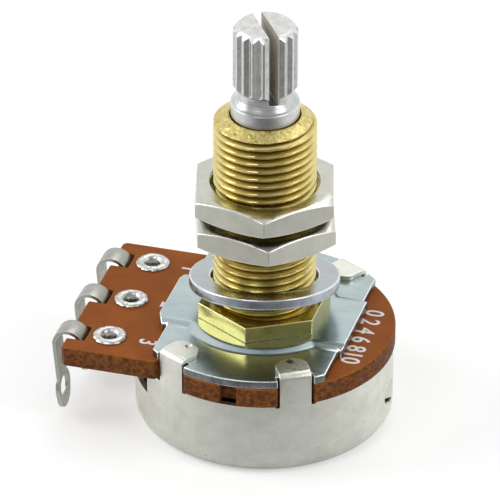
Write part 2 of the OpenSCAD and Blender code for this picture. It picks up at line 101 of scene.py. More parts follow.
class Slot(Enum):
    """The record's material slots, listed for the pieces made here."""

    CAN = "can_steel"
    PHENOLIC = "phenolic"
    PLATE = "zinc_plate"
    BRASS = "brass"
    SHAFT = "shaft_aluminium"
    NICKEL = "nickel"
    WASHER = "washer_steel"
    LUG = "tinned_lug"
    RIVET = "rivet_tin"


class Grain(Enum):
    """The marks that making a surface left in it.

    CLOUDY is the fine unevenness of a dipped or tumbled metal, TURNED runs round the Z axis,
    ROLLED runs along X, and LAYERED has layers stacked along Z, as on a laminate's cut edge.
    """

    CLOUDY = "cloudy"
    TURNED = "turned"
    ROLLED = "rolled"
    LAYERED = "layered"


# Marks along each axis, as shares of the scale, and octaves, of the grains that are plain noise
STRETCHES = {
    Grain.CLOUDY: ((1.0, 1.0, 1.0), 3.0),
    Grain.ROLLED: ((0.12, 1.0, 1.0), 4.0),
    Grain.LAYERED: ((0.45, 0.45, 2.4), 5.0),
}


@dataclass(frozen=True)
class Soil:
    """Painted shade that darkens the tone near the Z axis, as in the roots of a thread and round a bore.

    Args:
        colour: The painted shade's tone, linear.
        full_r: Radius in millimetres up to which it covers all.
        none_r: Radius from which there is none.
    """

    colour: Colour
    full_r: float
    none_r: float


@dataclass(frozen=True)
class Finish:
    """One surface finish, with its pattern sizes in marks for each millimetre.

    Args:
        name: The material's name.
        colour: The main tone, linear.
        stain: The tone that clouds over the main one.
        stain_scale: Clouds for each millimetre.
        stain_share: How far the clouds go towards the stain, 0 to 1.
        metallic: 1 for a bare metal, 0 for the rest.
        roughness: The lowest and the highest roughness.
        grain: The kind of fine marks.
        grain_scale: Fine marks for each millimetre.
        grain_height: Depth of the fine marks in millimetres.
        specks: Radius of the largest dark pits, as a share of the distance between pits.
        speck_scale: Pits for each millimetre.
        specular: Strength of the gloss of what isn't bare metal.
        soil: Painted shade in what lies deep, near the Z axis.
    """

    name: str
    colour: Colour
    stain: Colour
    stain_scale: float
    stain_share: float
    metallic: float
    roughness: tuple[float, float]
    grain: Grain
    grain_scale: float
    grain_height: float
    specks: float = 0.0
    speck_scale: float = 1.0
    specular: float = 0.5
    soil: Soil | None = None


class Sheet:
    """A node tree that is being drawn."""

    def __init__(self, tree: bpy.types.NodeTree) -> None:
        """Starts on a tree.

        Args:
            tree: The tree to draw in.
        """
        self.tree = tree

    def add(self, kind: str, **settings: Any) -> bpy.types.Node:
        """Adds a node.

        Args:
            kind: The node's type name.
            settings: Properties of the node.

        Returns:
            The new node.
        """
        made = self.tree.nodes.new(kind)
        for key, value in settings.items():
            setattr(made, key, value)
        return made

    def join(self, source: bpy.types.NodeSocket, target: bpy.types.NodeSocket) -> None:
        """Links one socket to another."""
        self.tree.links.new(source, target)

    def maths(self, operation: str, first: Any, second: Any) -> bpy.types.NodeSocket:
        """Adds a Math node.

        Args:
            operation: The node's operation.
            first: A socket or a number.
            second: A socket or a number.

        Returns:
            The result's socket.
        """
        made = self.add("ShaderNodeMath", operation=operation)
        for target, value in zip(made.inputs, (first, second)):
            if isinstance(value, bpy.types.NodeSocket):
                self.join(value, target)
            else:
                target.default_value = value
        return made.outputs[0]

    def distance(
        self, first: bpy.types.NodeSocket, second: bpy.types.NodeSocket
    ) -> bpy.types.NodeSocket:
        """Gives the length of a step along two axes."""
        squares = [self.maths("MULTIPLY", part, part) for part in (first, second)]
        return self.maths("SQRT", self.maths("ADD", *squares), 0.0)

    def ramp(
        self, value: bpy.types.NodeSocket, source: tuple[float, float], target: tuple[float, float]
    ) -> bpy.types.NodeSocket:
        """Maps a value from one range to another and keeps it inside.

        Args:
            value: The socket to map.
            source: The two ends of the range in.
            target: What they become.

        Returns:
            The mapped value's socket.
        """
        made = self.add("ShaderNodeMapRange", clamp=True)
        self.join(value, made.inputs["Value"])
        names = ("From Min", "From Max", "To Min", "To Max")
        for name, number in zip(names, (*source, *target)):
            made.inputs[name].default_value = number
        return made.outputs["Result"]

    def blend(self, share: Any, first: Any, second: Any) -> bpy.types.NodeSocket:
        """Mixes two colours.

        Args:
            share: A socket or a number, how far the mix goes to the second.
            first: A socket or a colour.
            second: A socket or a colour.

        Returns:
            The mixed colour's socket.
        """
        made = self.add("ShaderNodeMix", data_type="RGBA")
        targets = (made.inputs[0], made.inputs[6], made.inputs[7])
        for target, value in zip(targets, (share, first, second)):
            if isinstance(value, bpy.types.NodeSocket):
                self.join(value, target)
            elif isinstance(value, tuple):
                target.default_value = (*value, 1.0)
            else:
                target.default_value = value
        return made.outputs[2]


class PatternKit:
    """The node groups that several finishes share. Each reads a position in millimetres."""

    # Noise values between which a cloud grows to its full
    CLOUD_RANGE = (0.34, 0.68)
    # How far in millimetres pits are pulled out of round
    PIT_PULL = (0.35, 0.35, 0.35)
    # Where a pit starts and where it is full, as shares of a cell inside its outline
    PIT_RANGE = (-0.04, 0.05)

    def __init__(self) -> None:
        """Builds the groups once."""
        self.clouds = self._clouds()
        self.pits = self._pits()
        self.marks = {grain: self._noise_marks(grain) for grain in STRETCHES}
        self.marks[Grain.TURNED] = self._turned_marks()

    @staticmethod
    def _group(
        name: str, inputs: Sequence[tuple[str, float]], output: str
    ) -> tuple[bpy.types.NodeTree, Sheet, bpy.types.Node, bpy.types.Node]:
        """Starts a group with a position input.

        Args:
            name: The group's name.
            inputs: Names and defaults of the number inputs.
            output: The name of its one output.

        Returns:
            The group, a sheet on it, and its input and output nodes.
        """
        group = bpy.data.node_groups.new(name, "ShaderNodeTree")
        group.interface.new_socket("Position", in_out="INPUT", socket_type="NodeSocketVector")
        for label, default in inputs:
            socket = group.interface.new_socket(label, in_out="INPUT", socket_type="NodeSocketFloat")
            socket.default_value = default
        group.interface.new_socket(output, in_out="OUTPUT", socket_type="NodeSocketFloat")
        sheet = Sheet(group)
        return group, sheet, sheet.add("NodeGroupInput"), sheet.add("NodeGroupOutput")

    def _clouds(self) -> bpy.types.NodeTree:
        """Makes soft clouds, as of tarnish or uneven plating.

        Returns:
            The group, whose Mask goes from 0 to 1.
        """
        group, sheet, given, result = self._group("tarnish_clouds", [("Scale", 1.0)], "Mask")
        cloud = sheet.add("ShaderNodeTexNoise")
        cloud.inputs["Detail"].default_value = 5.0
        cloud.inputs["Roughness"].default_value = 0.62
        sheet.join(given.outputs["Position"], cloud.inputs["Vector"])
        sheet.join(given.outputs["Scale"], cloud.inputs["Scale"])
        sheet.join(sheet.ramp(cloud.outputs[0], self.CLOUD_RANGE, (0.0, 1.0)), result.inputs["Mask"])
        return group

    def _pits(self) -> bpy.types.NodeTree:
        """Makes small scattered pits and dirt specks.

        Returns:
            The group, whose Mask is 1 in a pit.
        """
        group, sheet, given, result = self._group("dark_pits", [("Scale", 1.0), ("Share", 0.1)], "Mask")
        warp = sheet.add("ShaderNodeTexNoise")
        warp.inputs["Scale"].default_value = 3.0
        sheet.join(given.outputs["Position"], warp.inputs["Vector"])
        shift = sheet.add("ShaderNodeVectorMath", operation="MULTIPLY_ADD")
        shift.inputs[1].default_value = self.PIT_PULL
        sheet.join(warp.outputs["Color"], shift.inputs[0])
        sheet.join(given.outputs["Position"], shift.inputs[2])
        cells = sheet.add("ShaderNodeTexVoronoi")
        sheet.join(shift.outputs[0], cells.inputs["Vector"])
        sheet.join(given.outputs["Scale"], cells.inputs["Scale"])
        size = sheet.maths("MULTIPLY", cells.outputs["Color"], given.outputs["Share"])
        dot = sheet.maths("SUBTRACT", size, cells.outputs["Distance"])
        sheet.join(sheet.ramp(dot, self.PIT_RANGE, (0.0, 1.0)), result.inputs["Mask"])
        return group

    def _noise_marks(self, grain: Grain) -> bpy.types.NodeTree:
        """Makes noise that is drawn out along some axes.

        Args:
            grain: The kind of marks, one of those in STRETCHES.

        Returns:
            The group, whose Height is the noise.
        """
        stretch, detail = STRETCHES[grain]
        group, sheet, given, result = self._group(f"{grain.value}_marks", [("Scale", 1.0)], "Height")
        drawn = sheet.add("ShaderNodeVectorMath", operation="MULTIPLY")
        drawn.inputs[1].default_value = stretch
        sheet.join(given.outputs["Position"], drawn.inputs[0])
        marks = sheet.add("ShaderNodeTexNoise")
        marks.inputs["Detail"].default_value = detail
        sheet.join(drawn.outputs[0], marks.inputs["Vector"])
        sheet.join(given.outputs["Scale"], marks.inputs["Scale"])
        sheet.join(marks.outputs[0], result.inputs["Height"])
        return group

    def _turned_marks(self) -> bpy.types.NodeTree:
        """Makes tool marks that run round the Z axis.

        Returns:
            The group, whose Height changes only with the radius and the height.
        """
        group, sheet, given, result = self._group("turned_marks", [("Scale", 1.0)], "Height")
        split = sheet.add("ShaderNodeSeparateXYZ")
        sheet.join(given.outputs["Position"], split.inputs[0])
        radius = sheet.distance(split.outputs[0], split.outputs[1])
        run = sheet.add("ShaderNodeCombineXYZ")
        sheet.join(radius, run.inputs[0])
        sheet.join(split.outputs[2], run.inputs[1])
        lines = sheet.add("ShaderNodeTexNoise", noise_dimensions="2D")
        lines.inputs["Detail"].default_value = 3.0
        sheet.join(run.outputs[0], lines.inputs["Vector"])
        sheet.join(given.outputs["Scale"], lines.inputs["Scale"])
        sheet.join(lines.outputs[0], result.inputs["Height"])
        return group


class Paintbox:
    """Makes each finish's material once."""

    # Heights of the marks that get the lowest and the highest roughness
    MARK_RANGE = (0.3, 0.7)
    # A pit's tone as a share of the stain's, and how far the pit covers what lies under it
    PIT_TONE = 0.3
    PIT_COVER = 0.7

    def __init__(self) -> None:
        """Builds the shared patterns."""
        self.patterns = PatternKit()
        self.made: dict[str, bpy.types.Material] = {}

    def material(self, finish: Finish) -> bpy.types.Material:
        """Gives the material of a finish.

        Args:
            finish: The finish.

        Returns:
            Its material.
        """
        if finish.name not in self.made:
            self.made[finish.name] = self._make(finish)
        return self.made[finish.name]

    def _placed(
        self, sheet: Sheet, group: bpy.types.NodeTree, position: Any, values: dict[str, float]
    ) -> bpy.types.NodeSocket:
        """Puts a pattern into a material.

        Args:
            sheet: The material's sheet.
            group: The pattern.
            position: The socket of the position in millimetres.
            values: The pattern's own values.

        Returns:
            The pattern's output.
        """
        placed = sheet.add("ShaderNodeGroup", node_tree=group)
        sheet.join(position, placed.inputs["Position"])
        for key, value in values.items():
            placed.inputs[key].default_value = value
        return placed.outputs[0]

    def _make(self, finish: Finish) -> bpy.types.Material:
        """Draws a finish's material.

        Args:
            finish: The finish.

        Returns:
            The new material.
        """
        material = bpy.data.materials.new(finish.name)
        material.use_nodes = True
        sheet = Sheet(material.node_tree)
        shader = material.node_tree.nodes["Principled BSDF"]
        shader.inputs["Metallic"].default_value = finish.metallic
        shader.inputs["Specular IOR Level"].default_value = finish.specular
        place = sheet.add("ShaderNodeTexCoord")
        scaled = sheet.add("ShaderNodeVectorMath", operation="SCALE")
        scaled.inputs["Scale"].default_value = 1.0 / MM
        sheet.join(place.outputs["Object"], scaled.inputs[0])
        position = scaled.outputs[0]
        clouds = self._placed(sheet, self.patterns.clouds, position, {"Scale": finish.stain_scale})
        share = sheet.maths("MULTIPLY", clouds, finish.stain_share)
        tone = sheet.blend(share, finish.colour, finish.stain)
        marks = self._placed(
            sheet, self.patterns.marks[finish.grain], position, {"Scale": finish.grain_scale}
        )
        if finish.specks > 0.0:
            values = {"Scale": finish.speck_scale, "Share": finish.specks}
            pits = self._placed(sheet, self.patterns.pits, position, values)
            dark = tuple(self.PIT_TONE * part for part in finish.stain)
            tone = sheet.blend(sheet.maths("MULTIPLY", pits, self.PIT_COVER), tone, dark)
        # Painted shade: the tone darkens towards the Z axis, where the thread's roots and the bore lie
        # in shade.
        if finish.soil is not None:
            split = sheet.add("ShaderNodeSeparateXYZ")
            sheet.join(position, split.inputs[0])
            radius = sheet.distance(split.outputs[0], split.outputs[1])
            depth = sheet.ramp(radius, (finish.soil.full_r, finish.soil.none_r), (1.0, 0.0))
            tone = sheet.blend(depth, tone, finish.soil.colour)
        sheet.join(tone, shader.inputs["Base Color"])
        roughness = sheet.ramp(marks, self.MARK_RANGE, finish.roughness)
        sheet.join(roughness, shader.inputs["Roughness"])
        bump = sheet.add("ShaderNodeBump")
        bump.inputs["Distance"].default_value = finish.grain_height * MM
        bump.inputs["Strength"].default_value = 1.0
        sheet.join(marks, bump.inputs["Height"])
        sheet.join(bump.outputs["Normal"], shader.inputs["Normal"])
        return material


CAN_TIN = Finish(
    "matte_tin_plate", (0.67, 0.675, 0.605), (0.79, 0.795, 0.725), 0.6, 0.9, 1.0, (0.3, 0.46),
    Grain.CLOUDY, 3.0, 0.014, 0.14, 1.9,
)
# Painted highlight: a paler tone on the tabs' rounded edges, where light catches them.
CAN_EDGE_HIGHLIGHT = Finish(
    "painted_highlight_tin_edge", (0.86, 0.86, 0.82), (0.7, 0.7, 0.66), 1.5, 0.6, 1.0, (0.24, 0.4),
    Grain.CLOUDY, 6.0, 0.006,
)
# A near-black tone put inside one dimple of the tabs.
DARK_DIMPLE = Finish(
    "dark_dimple", (0.05, 0.045, 0.035), (0.02, 0.018, 0.015), 3.0, 0.6, 0.0, (0.5, 0.7),
    Grain.CLOUDY, 8.0, 0.01, specular=0.2,
)
PHENOLIC_FACE = Finish(
    "phenolic_face", (0.28, 0.076, 0.014), (0.37, 0.108, 0.018), 0.35, 0.8, 0.0, (0.5, 0.62),
    Grain.CLOUDY, 6.0, 0.006, specular=0.12,
)
PHENOLIC_RUBBED = Finish(
    "phenolic_rubbed_edge", (0.38, 0.13, 0.018), (0.22, 0.07, 0.012), 1.6, 0.8, 0.0, (0.5, 0.65),
    Grain.CLOUDY, 6.0, 0.02, specular=0.15,
)
PHENOLIC_EDGE = Finish(
    "phenolic_cut_edge", (0.065, 0.018, 0.004), (0.36, 0.115, 0.018), 2.4, 0.8, 0.0, (0.5, 0.75),
    Grain.LAYERED, 2.4, 0.1, specular=0.25,
)
PLATE_ZINC = Finish(
    "zinc_plate", (0.4, 0.48, 0.49), (0.52, 0.6, 0.6), 0.35, 0.8, 1.0, (0.21, 0.27),
    Grain.ROLLED, 3.0, 0.001, 0.05, 1.1,
)
PLATE_CUT = Finish(
    "sheared_zinc", (0.14, 0.15, 0.145), (0.38, 0.41, 0.405), 1.2, 0.6, 1.0, (0.24, 0.4),
    Grain.LAYERED, 3.0, 0.02,
)
# Painted highlight: a paler tone on the plate's rounded edges, where light catches them.
PLATE_EDGE_HIGHLIGHT = Finish(
    "painted_highlight_zinc_edge", (0.82, 0.88, 0.88), (0.66, 0.72, 0.72), 1.2, 0.6, 1.0, (0.2, 0.34),
    Grain.CLOUDY, 5.0, 0.004,
)
# The thread's roots get painted shade, below a radius of 4.62 mm.
BRASS_TURNED = Finish(
    "turned_brass", (0.8, 0.7, 0.3), (0.64, 0.52, 0.18), 0.7, 0.7, 1.0, (0.2, 0.32),
    Grain.TURNED, 4.0, 0.003, soil=Soil((0.34, 0.22, 0.055), 4.34, 4.62),
)
# The end gets painted shade round the bore, inside a radius of 3.5 mm.
BRASS_END = Finish(
    "swaged_brass", (0.78, 0.68, 0.28), (0.5, 0.37, 0.11), 1.4, 0.8, 1.0, (0.26, 0.42),
    Grain.CLOUDY, 2.4, 0.14, 0.28, 1.7, soil=Soil((0.3, 0.2, 0.06), 3.2, 3.5),
)
BRASS_BAR = Finish(
    "brass_bar", (0.57, 0.49, 0.18), (0.46, 0.36, 0.11), 0.5, 0.7, 1.0, (0.18, 0.28),
    Grain.CLOUDY, 3.0, 0.003,
)
# Painted highlight: a paler tone on the hexagon's rounded edges, where light catches them.
BRASS_EDGE_HIGHLIGHT = Finish(
    "painted_highlight_brass_edge", (0.85, 0.76, 0.36), (0.66, 0.54, 0.2), 1.5, 0.6, 1.0, (0.22, 0.34),
    Grain.CLOUDY, 5.0, 0.004,
)
SHAFT_METAL = Finish(
    "turned_aluminium", (0.66, 0.67, 0.67), (0.48, 0.49, 0.49), 1.2, 0.7, 1.0, (0.18, 0.32),
    Grain.TURNED, 2.6, 0.02,
)
KNURL_METAL = Finish(
    "knurled_aluminium", (0.68, 0.69, 0.67), (0.48, 0.485, 0.47), 1.3, 0.8, 1.0, (0.3, 0.48),
    Grain.CLOUDY, 3.0, 0.02, 0.16, 1.8,
)
# Painted highlight: a paler tone on the shaft's upward chamfer and rounded edges, where light catches
# them.
SHAFT_EDGE_HIGHLIGHT = Finish(
    "painted_highlight_aluminium_edge", (0.8, 0.81, 0.81), (0.55, 0.55, 0.55), 2.0, 0.6, 1.0, (0.24, 0.38),
    Grain.CLOUDY, 6.0, 0.006,
)
SLOT_METAL = Finish(
    "sawn_slot", (0.6, 0.57, 0.48), (0.42, 0.39, 0.32), 1.5, 0.7, 0.0, (0.5, 0.7),
    Grain.LAYERED, 3.0, 0.02, specular=0.4,
)
NICKEL_SATIN = Finish(
    "satin_nickel", (0.62, 0.62, 0.55), (0.52, 0.52, 0.46), 0.45, 0.8, 1.0, (0.2, 0.28),
    Grain.CLOUDY, 1.6, 0.006, 0.05, 0.8,
)
# Painted highlight: a paler tone on the round where a nut's chamfer meets its flats.
NICKEL_EDGE_HIGHLIGHT = Finish(
    "painted_highlight_nickel_edge", (0.86, 0.85, 0.8), (0.7, 0.69, 0.64), 1.0, 0.6, 1.0, (0.18, 0.28),
    Grain.CLOUDY, 2.0, 0.002,
)
WASHER_ZINC = Finish(
    "washer_zinc", (0.46, 0.5, 0.5), (0.38, 0.42, 0.43), 0.4, 0.7, 1.0, (0.2, 0.28),
    Grain.CLOUDY, 1.2, 0.002,
)
WASHER_CUT = Finish(
    "sheared_washer_edge", (0.3, 0.33, 0.37), (0.6, 0.64, 0.68), 0.6, 0.6, 1.0, (0.2, 0.3),
    Grain.CLOUDY, 1.4, 0.004,
)
# Painted highlight: a paler tone on the washer's rounded edges, where light catches them.
WASHER_EDGE_HIGHLIGHT = Finish(
    "painted_highlight_washer_edge", (0.8, 0.84, 0.9), (0.62, 0.66, 0.72), 1.0, 0.6, 1.0, (0.2, 0.3),
    Grain.CLOUDY, 3.0, 0.003,
)
LUG_TIN = Finish(
    "dull_tin", (0.36, 0.37, 0.33), (0.46, 0.46, 0.42), 0.9, 0.7, 1.0, (0.34, 0.48),
    Grain.CLOUDY, 3.5, 0.008,
)
# Painted highlight: a paler tone on the lugs' rounded edges, where light catches them.
LUG_EDGE_HIGHLIGHT = Finish(
    "painted_highlight_lug_edge", (0.62, 0.62, 0.58), (0.4, 0.4, 0.36), 2.0, 0.6, 1.0, (0.3, 0.42),
    Grain.CLOUDY, 5.0, 0.006,
)
RIVET_TIN = Finish(
    "bright_tin", (0.68, 0.68, 0.66), (0.4, 0.4, 0.38), 1.8, 0.7, 1.0, (0.2, 0.38),
    Grain.CLOUDY, 4.0, 0.03, 0.26, 2.4,
)
CARBON_FILM = Finish(
    "carbon_film", (0.012, 0.012, 0.013), (0.02, 0.02, 0.02), 1.0, 0.5, 0.0, (0.5, 0.65),
    Grain.CLOUDY, 12.0, 0.003,
)
SILVERED = Finish(
    "silvered_film", (0.62, 0.6, 0.54), (0.5, 0.48, 0.42), 1.0, 0.6, 1.0, (0.3, 0.45),
    Grain.CLOUDY, 12.0, 0.003,
)
ROTOR_PLASTIC = Finish(
    "dark_moulding", (0.03, 0.018, 0.012), (0.045, 0.028, 0.018), 0.6, 0.5, 0.0, (0.4, 0.55),
    Grain.CLOUDY, 6.0, 0.004,
)
SPRING_BRONZE = Finish(
    "spring_bronze", (0.6, 0.38, 0.18), (0.5, 0.29, 0.12), 0.8, 0.6, 1.0, (0.25, 0.38),
    Grain.ROLLED, 5.0, 0.003,
)
RING_STEEL = Finish(
    "spring_steel", (0.3, 0.3, 0.3), (0.2, 0.2, 0.2), 1.0, 0.6, 1.0, (0.3, 0.45),
    Grain.CLOUDY, 6.0, 0.004,
)
FIBRE_SHEET = Finish(
    "fibre_sheet", (0.09, 0.05, 0.03), (0.13, 0.08, 0.05), 1.2, 0.6, 0.0, (0.6, 0.75),
    Grain.CLOUDY, 8.0, 0.006,
)
INK = Finish(
    "white_ink", (0.92, 0.9, 0.9), (0.74, 0.7, 0.68), 1.5, 0.5, 0.0, (0.45, 0.6),
    Grain.CLOUDY, 9.0, 0.003,
)


class Bench:
    """Makes and dresses pieces round the loaded frame."""

    def __init__(self, frame: dict[str, Any], paints: Paintbox) -> None:
        """Keeps what every sub-assembly needs.

        Args:
            paints: Where the materials come from.
        """
        self.nodes: dict[str, bpy.types.Object] = frame["nodes"]
        self.paints = paints

    def copy_of(self, node: str, weld: float = WELD) -> bmesh.types.BMesh:
        """Copies a node's mesh, welds it and joins its flat triangles.

        Args:
            node: The node's name.
            weld: Corners nearer than this many millimetres become one.

        Returns:
            The copy, with its faces pointing out.
        """
        shape = bmesh.new()
        shape.from_mesh(self.nodes[node].data)
        bmesh.ops.remove_doubles(shape, verts=shape.verts, dist=WELD * MM)
        bmesh.ops.dissolve_limit(
            shape, angle_limit=math.radians(FLAT_DEG), verts=shape.verts, edges=shape.edges
        )
        if weld > WELD:
            bmesh.ops.remove_doubles(shape, verts=shape.verts, dist=weld * MM)
        return shape

    def finish_piece(
        self,
        shape: bmesh.types.BMesh,
        name: str,
        body: Body,
        slot: Slot | None,
        finishes: Sequence[Finish],
        replaces: Sequence[str] = (),
        sharp_deg: float = 32.0,
    ) -> None:
        """Turns a shape into a piece that rides on its body.

        Args:
            shape: The shape, in place and in metres. It is freed.
            name: The piece's name.
            body: The body that it rides on.
            slot: The record's slot, if there is one. It is not used.
            finishes: The materials, in the order of the faces' material numbers.
            replaces: The nodes that it stands for.
            sharp_deg: The angle from which an edge is shaded as sharp.
        """
        sharp = math.radians(sharp_deg)
        for face in shape.faces:
            face.smooth = True
        for edge in shape.edges:
            edge.smooth = len(edge.link_faces) == 2 and edge.calc_face_angle(0.0) < sharp
        mesh = bpy.data.meshes.new(name)
        shape.to_mesh(mesh)
        shape.free()
        piece = bpy.data.objects.new(name, mesh)
        bpy.context.scene.collection.objects.link(piece)
        for finish in finishes:
            mesh.materials.append(self.paints.material(finish))
        piece.modifiers.new("flat_faces_shade_flat", "WEIGHTED_NORMAL").keep_sharp = True
        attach(piece, body.value)
        if replaces:
            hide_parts(*replaces)
        LOG.info("%s: %d faces on %s", name, len(mesh.polygons), body.value)

    def repaint(self, node: str, finish: Finish) -> None:
        """Gives a node that stays visible its material.

        Args:
            node: The node's name.
            finish: Its finish.
        """
        mesh = self.nodes[node].data
        mesh.materials.clear()
        mesh.materials.append(self.paints.material(finish))
        LOG.info("%s keeps its solid and gets %s", node, finish.name)


def lathe(profile: Profile, steps: int) -> bmesh.types.BMesh:
    """Turns a closed outline round the Z axis.

    Args:
        profile: Radius and height of each corner, in millimetres, in order.
        steps: Segments round the axis.

    Returns:
        The turned shape, in metres.
    """
    shape = bmesh.new()
    outline = [shape.verts.new((radius * MM, 0.0, height * MM)) for radius, height in profile]
    sides = [shape.edges.new(pair) for pair in zip(outline, outline[1:] + outline[:1])]
    bmesh.ops.spin(
        shape, geom=outline + sides, cent=(0.0, 0.0, 0.0), axis=(0.0, 0.0, 1.0), dvec=(0.0, 0.0, 0.0),
        angle=2.0 * math.pi, steps=steps, use_merge=True, use_duplicate=False,
    )
    bmesh.ops.remove_doubles(shape, verts=shape.verts, dist=WELD * MM)
    bmesh.ops.recalc_face_normals(shape, faces=shape.faces)
    return shape


def soften(
    shape: bmesh.types.BMesh,
    width: float,
    from_deg: float,
    to_deg: float = 180.0,
    segments: int = 3,
    number: int | None = None,
    wanted: Callable[[bmesh.types.BMEdge], bool] = lambda edge: True,
) -> None:
    """Bevels the edges whose angle lies in a range.

    Args:
        shape: The shape to change.
        width: The bevel's width in millimetres.
        from_deg: The smallest angle that is bevelled.
        to_deg: The largest angle that is bevelled.
        segments: Segments across the bevel.
        number: The material number of the bevel's faces, if it isn't their neighbours'.
        wanted: Tells whether an edge may be bevelled.
    """
    low, high = math.radians(from_deg), math.radians(to_deg)
    chosen = [
        edge
        for edge in shape.edges
        if len(edge.link_faces) == 2 and low <= edge.calc_face_angle(0.0) <= high and wanted(edge)
    ]
    made = bmesh.ops.bevel(
        shape, geom=chosen, offset=width * MM, offset_type="OFFSET", affect="EDGES", segments=segments,
        profile=0.5, material=-1, clamp_overlap=False,
    )
    if number is not None:
        for face in made["faces"]:
            face.material_index = number


@dataclass
class Can:
    """The drawn can with its folded tabs.

    Args:
        bench: Where the piece is made.
        edge_width: Width of the softened edges.
        weld: Corners nearer than this become one.
        nick_depth: Depth of the nicks beside the tabs in the solid.
        nick_slack: How closely a corner of a nick is matched.
        nick_left: Depth of the nicks once they are closed up.
        dirty_deg: Angle from the X axis of the tab whose dimple is painted near black.
        dimple_x: Distance of the dimples from the Z axis.
        dimple_r: Radius round a dimple's centre that takes in its faces.
        dimple_depth: Depth under the tabs' upper side that takes in its faces.
        dimple_edge: Length up to which an edge may be one of a dimple's.
        level_tilt: Upward part of a face's normal from which it lies level.
    """

    bench: Bench
    edge_width: float = 0.07
    weld: float = 0.06
    nick_depth: float = 0.7
    nick_slack: float = 0.02
    nick_left: float = 0.12
    dirty_deg: float = 300.0
    dimple_x: float = 9.64
    dimple_r: float = 0.37
    dimple_depth: float = 0.2
    dimple_edge: float = 0.15
    level_tilt: float = 0.999

    def build(self) -> None:
        """Makes and dresses the can."""
        shape = self.bench.copy_of("can_cover", self.weld)
        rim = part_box("wafer")[0].z / MM
        tab_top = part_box("can_cover")[1].z / MM
        for vert in shape.verts:
            if abs(vert.co.z / MM - (rim - self.nick_depth)) < self.nick_slack:
                vert.co.z = (rim - self.nick_left) * MM
        dark_faces = self._dimple_faces(shape, tab_top)

        def on_tab(edge: bmesh.types.BMEdge) -> bool:
            """Tells whether an edge belongs to a tab's outline.

            Args:
                edge: The edge.

            Returns:
                True if it does. A dimple's own edges don't.
            """
            middle = (edge.verts[0].co + edge.verts[1].co) / 2.0 / MM
            short = edge.calc_length() / MM < self.dimple_edge
            near_dimple = abs(middle.xy.length - self.dimple_x) < self.dimple_r
            return middle.z > rim + self.dimple_depth and not (
                short and near_dimple and middle.z > tab_top - self.dimple_depth
            )

        # The rounded tab edges are painted with a highlight.
        soften(shape, self.edge_width, CUT_DEG, number=1, wanted=on_tab)
        # The one dimple's faces are painted near black.
        for face in dark_faces:
            if face.is_valid:
                face.material_index = 2
        self.bench.finish_piece(
            shape, "can_shell", Body.HOUSING, Slot.CAN,
            [CAN_TIN, CAN_EDGE_HIGHLIGHT, DARK_DIMPLE], ["can_cover"],
        )

    def _dimple_faces(self, shape: bmesh.types.BMesh, tab_top: float) -> list[bmesh.types.BMFace]:
        """Finds the faces of the one dimple that is painted near black.

        Args:
            shape: The can.
            tab_top: Height of the tabs' upper side.

        Returns:
            The dimple's faces.
        """
        centre = Matrix.Rotation(math.radians(self.dirty_deg), 2) @ Vector((self.dimple_x, 0.0))
        found = []
        for face in shape.faces:
            place = face.calc_center_median() / MM
            if face.normal.z < self.level_tilt and place.z > tab_top - self.dimple_depth:
                if (place.xy - centre).length < self.dimple_r:
                    found.append(face)
        return found


@dataclass
class Wafer:
    """The phenolic wafer, whose punched edges show its layers.

    Args:
        bench: Where the piece is made.
        edge_width: Width of the rounded upper and lower edge.
        edge_deg: Angle from which an edge is rounded.
        side_tilt: Upward part of a face's normal up to which it is a punched side.
        round_tilt: The same for a rounded edge.
    """

    bench: Bench
    edge_width: float = 0.2
    edge_deg: float = 60.0
    side_tilt: float = 0.35
    round_tilt: float = 0.97

    def build(self) -> None:
        """Makes and dresses the wafer."""
        shape = self.bench.copy_of("wafer")
        soften(shape, self.edge_width, self.edge_deg)
        for face in shape.faces:
            tilt = abs(face.normal.z)
            face.material_index = 1 if tilt < self.side_tilt else 2 if tilt < self.round_tilt else 0
        self.bench.finish_piece(
            shape, "wafer_board", Body.HOUSING, Slot.PHENOLIC,
            [PHENOLIC_FACE, PHENOLIC_EDGE, PHENOLIC_RUBBED], ["wafer"],
        )


@dataclass
class FrontPlate:
    """The pressed front plate.

    Args:
        bench: Where the piece is made.
        form_width: Width of the rounds along the pressed slopes.
        form_degs: Angles between which an edge belongs to a pressed slope.
        edge_width: Width of the rounds at the sheared edges.
        weld: Corners nearer than this become one, before the forms are rounded.
        weld_again: The same, after that.
        side_tilt: Upward part of a face's normal up to which it is a sheared side.
    """

    bench: Bench
    form_width: float = 0.2
    form_degs: tuple[float, float] = (20.0, 40.0)
    edge_width: float = 0.1
    weld: float = 0.15
    weld_again: float = 0.05
    side_tilt: float = 0.3

    def build(self) -> None:
        """Makes and dresses the plate."""
        shape = self.bench.copy_of("front_plate", self.weld)
        soften(shape, self.form_width, *self.form_degs)
        bmesh.ops.remove_doubles(shape, verts=shape.verts, dist=self.weld_again * MM)
        for face in shape.faces:
            face.material_index = 1 if abs(face.normal.z) < self.side_tilt else 0
        # The rounds at the sheared edges are painted with a highlight.
        soften(shape, self.edge_width, CUT_DEG, number=2)
        self.bench.finish_piece(
            shape, "plate_pressing", Body.HOUSING, Slot.PLATE,
            [PLATE_ZINC, PLATE_CUT, PLATE_EDGE_HIGHLIGHT], ["front_plate"], sharp_deg=40.0,
        )


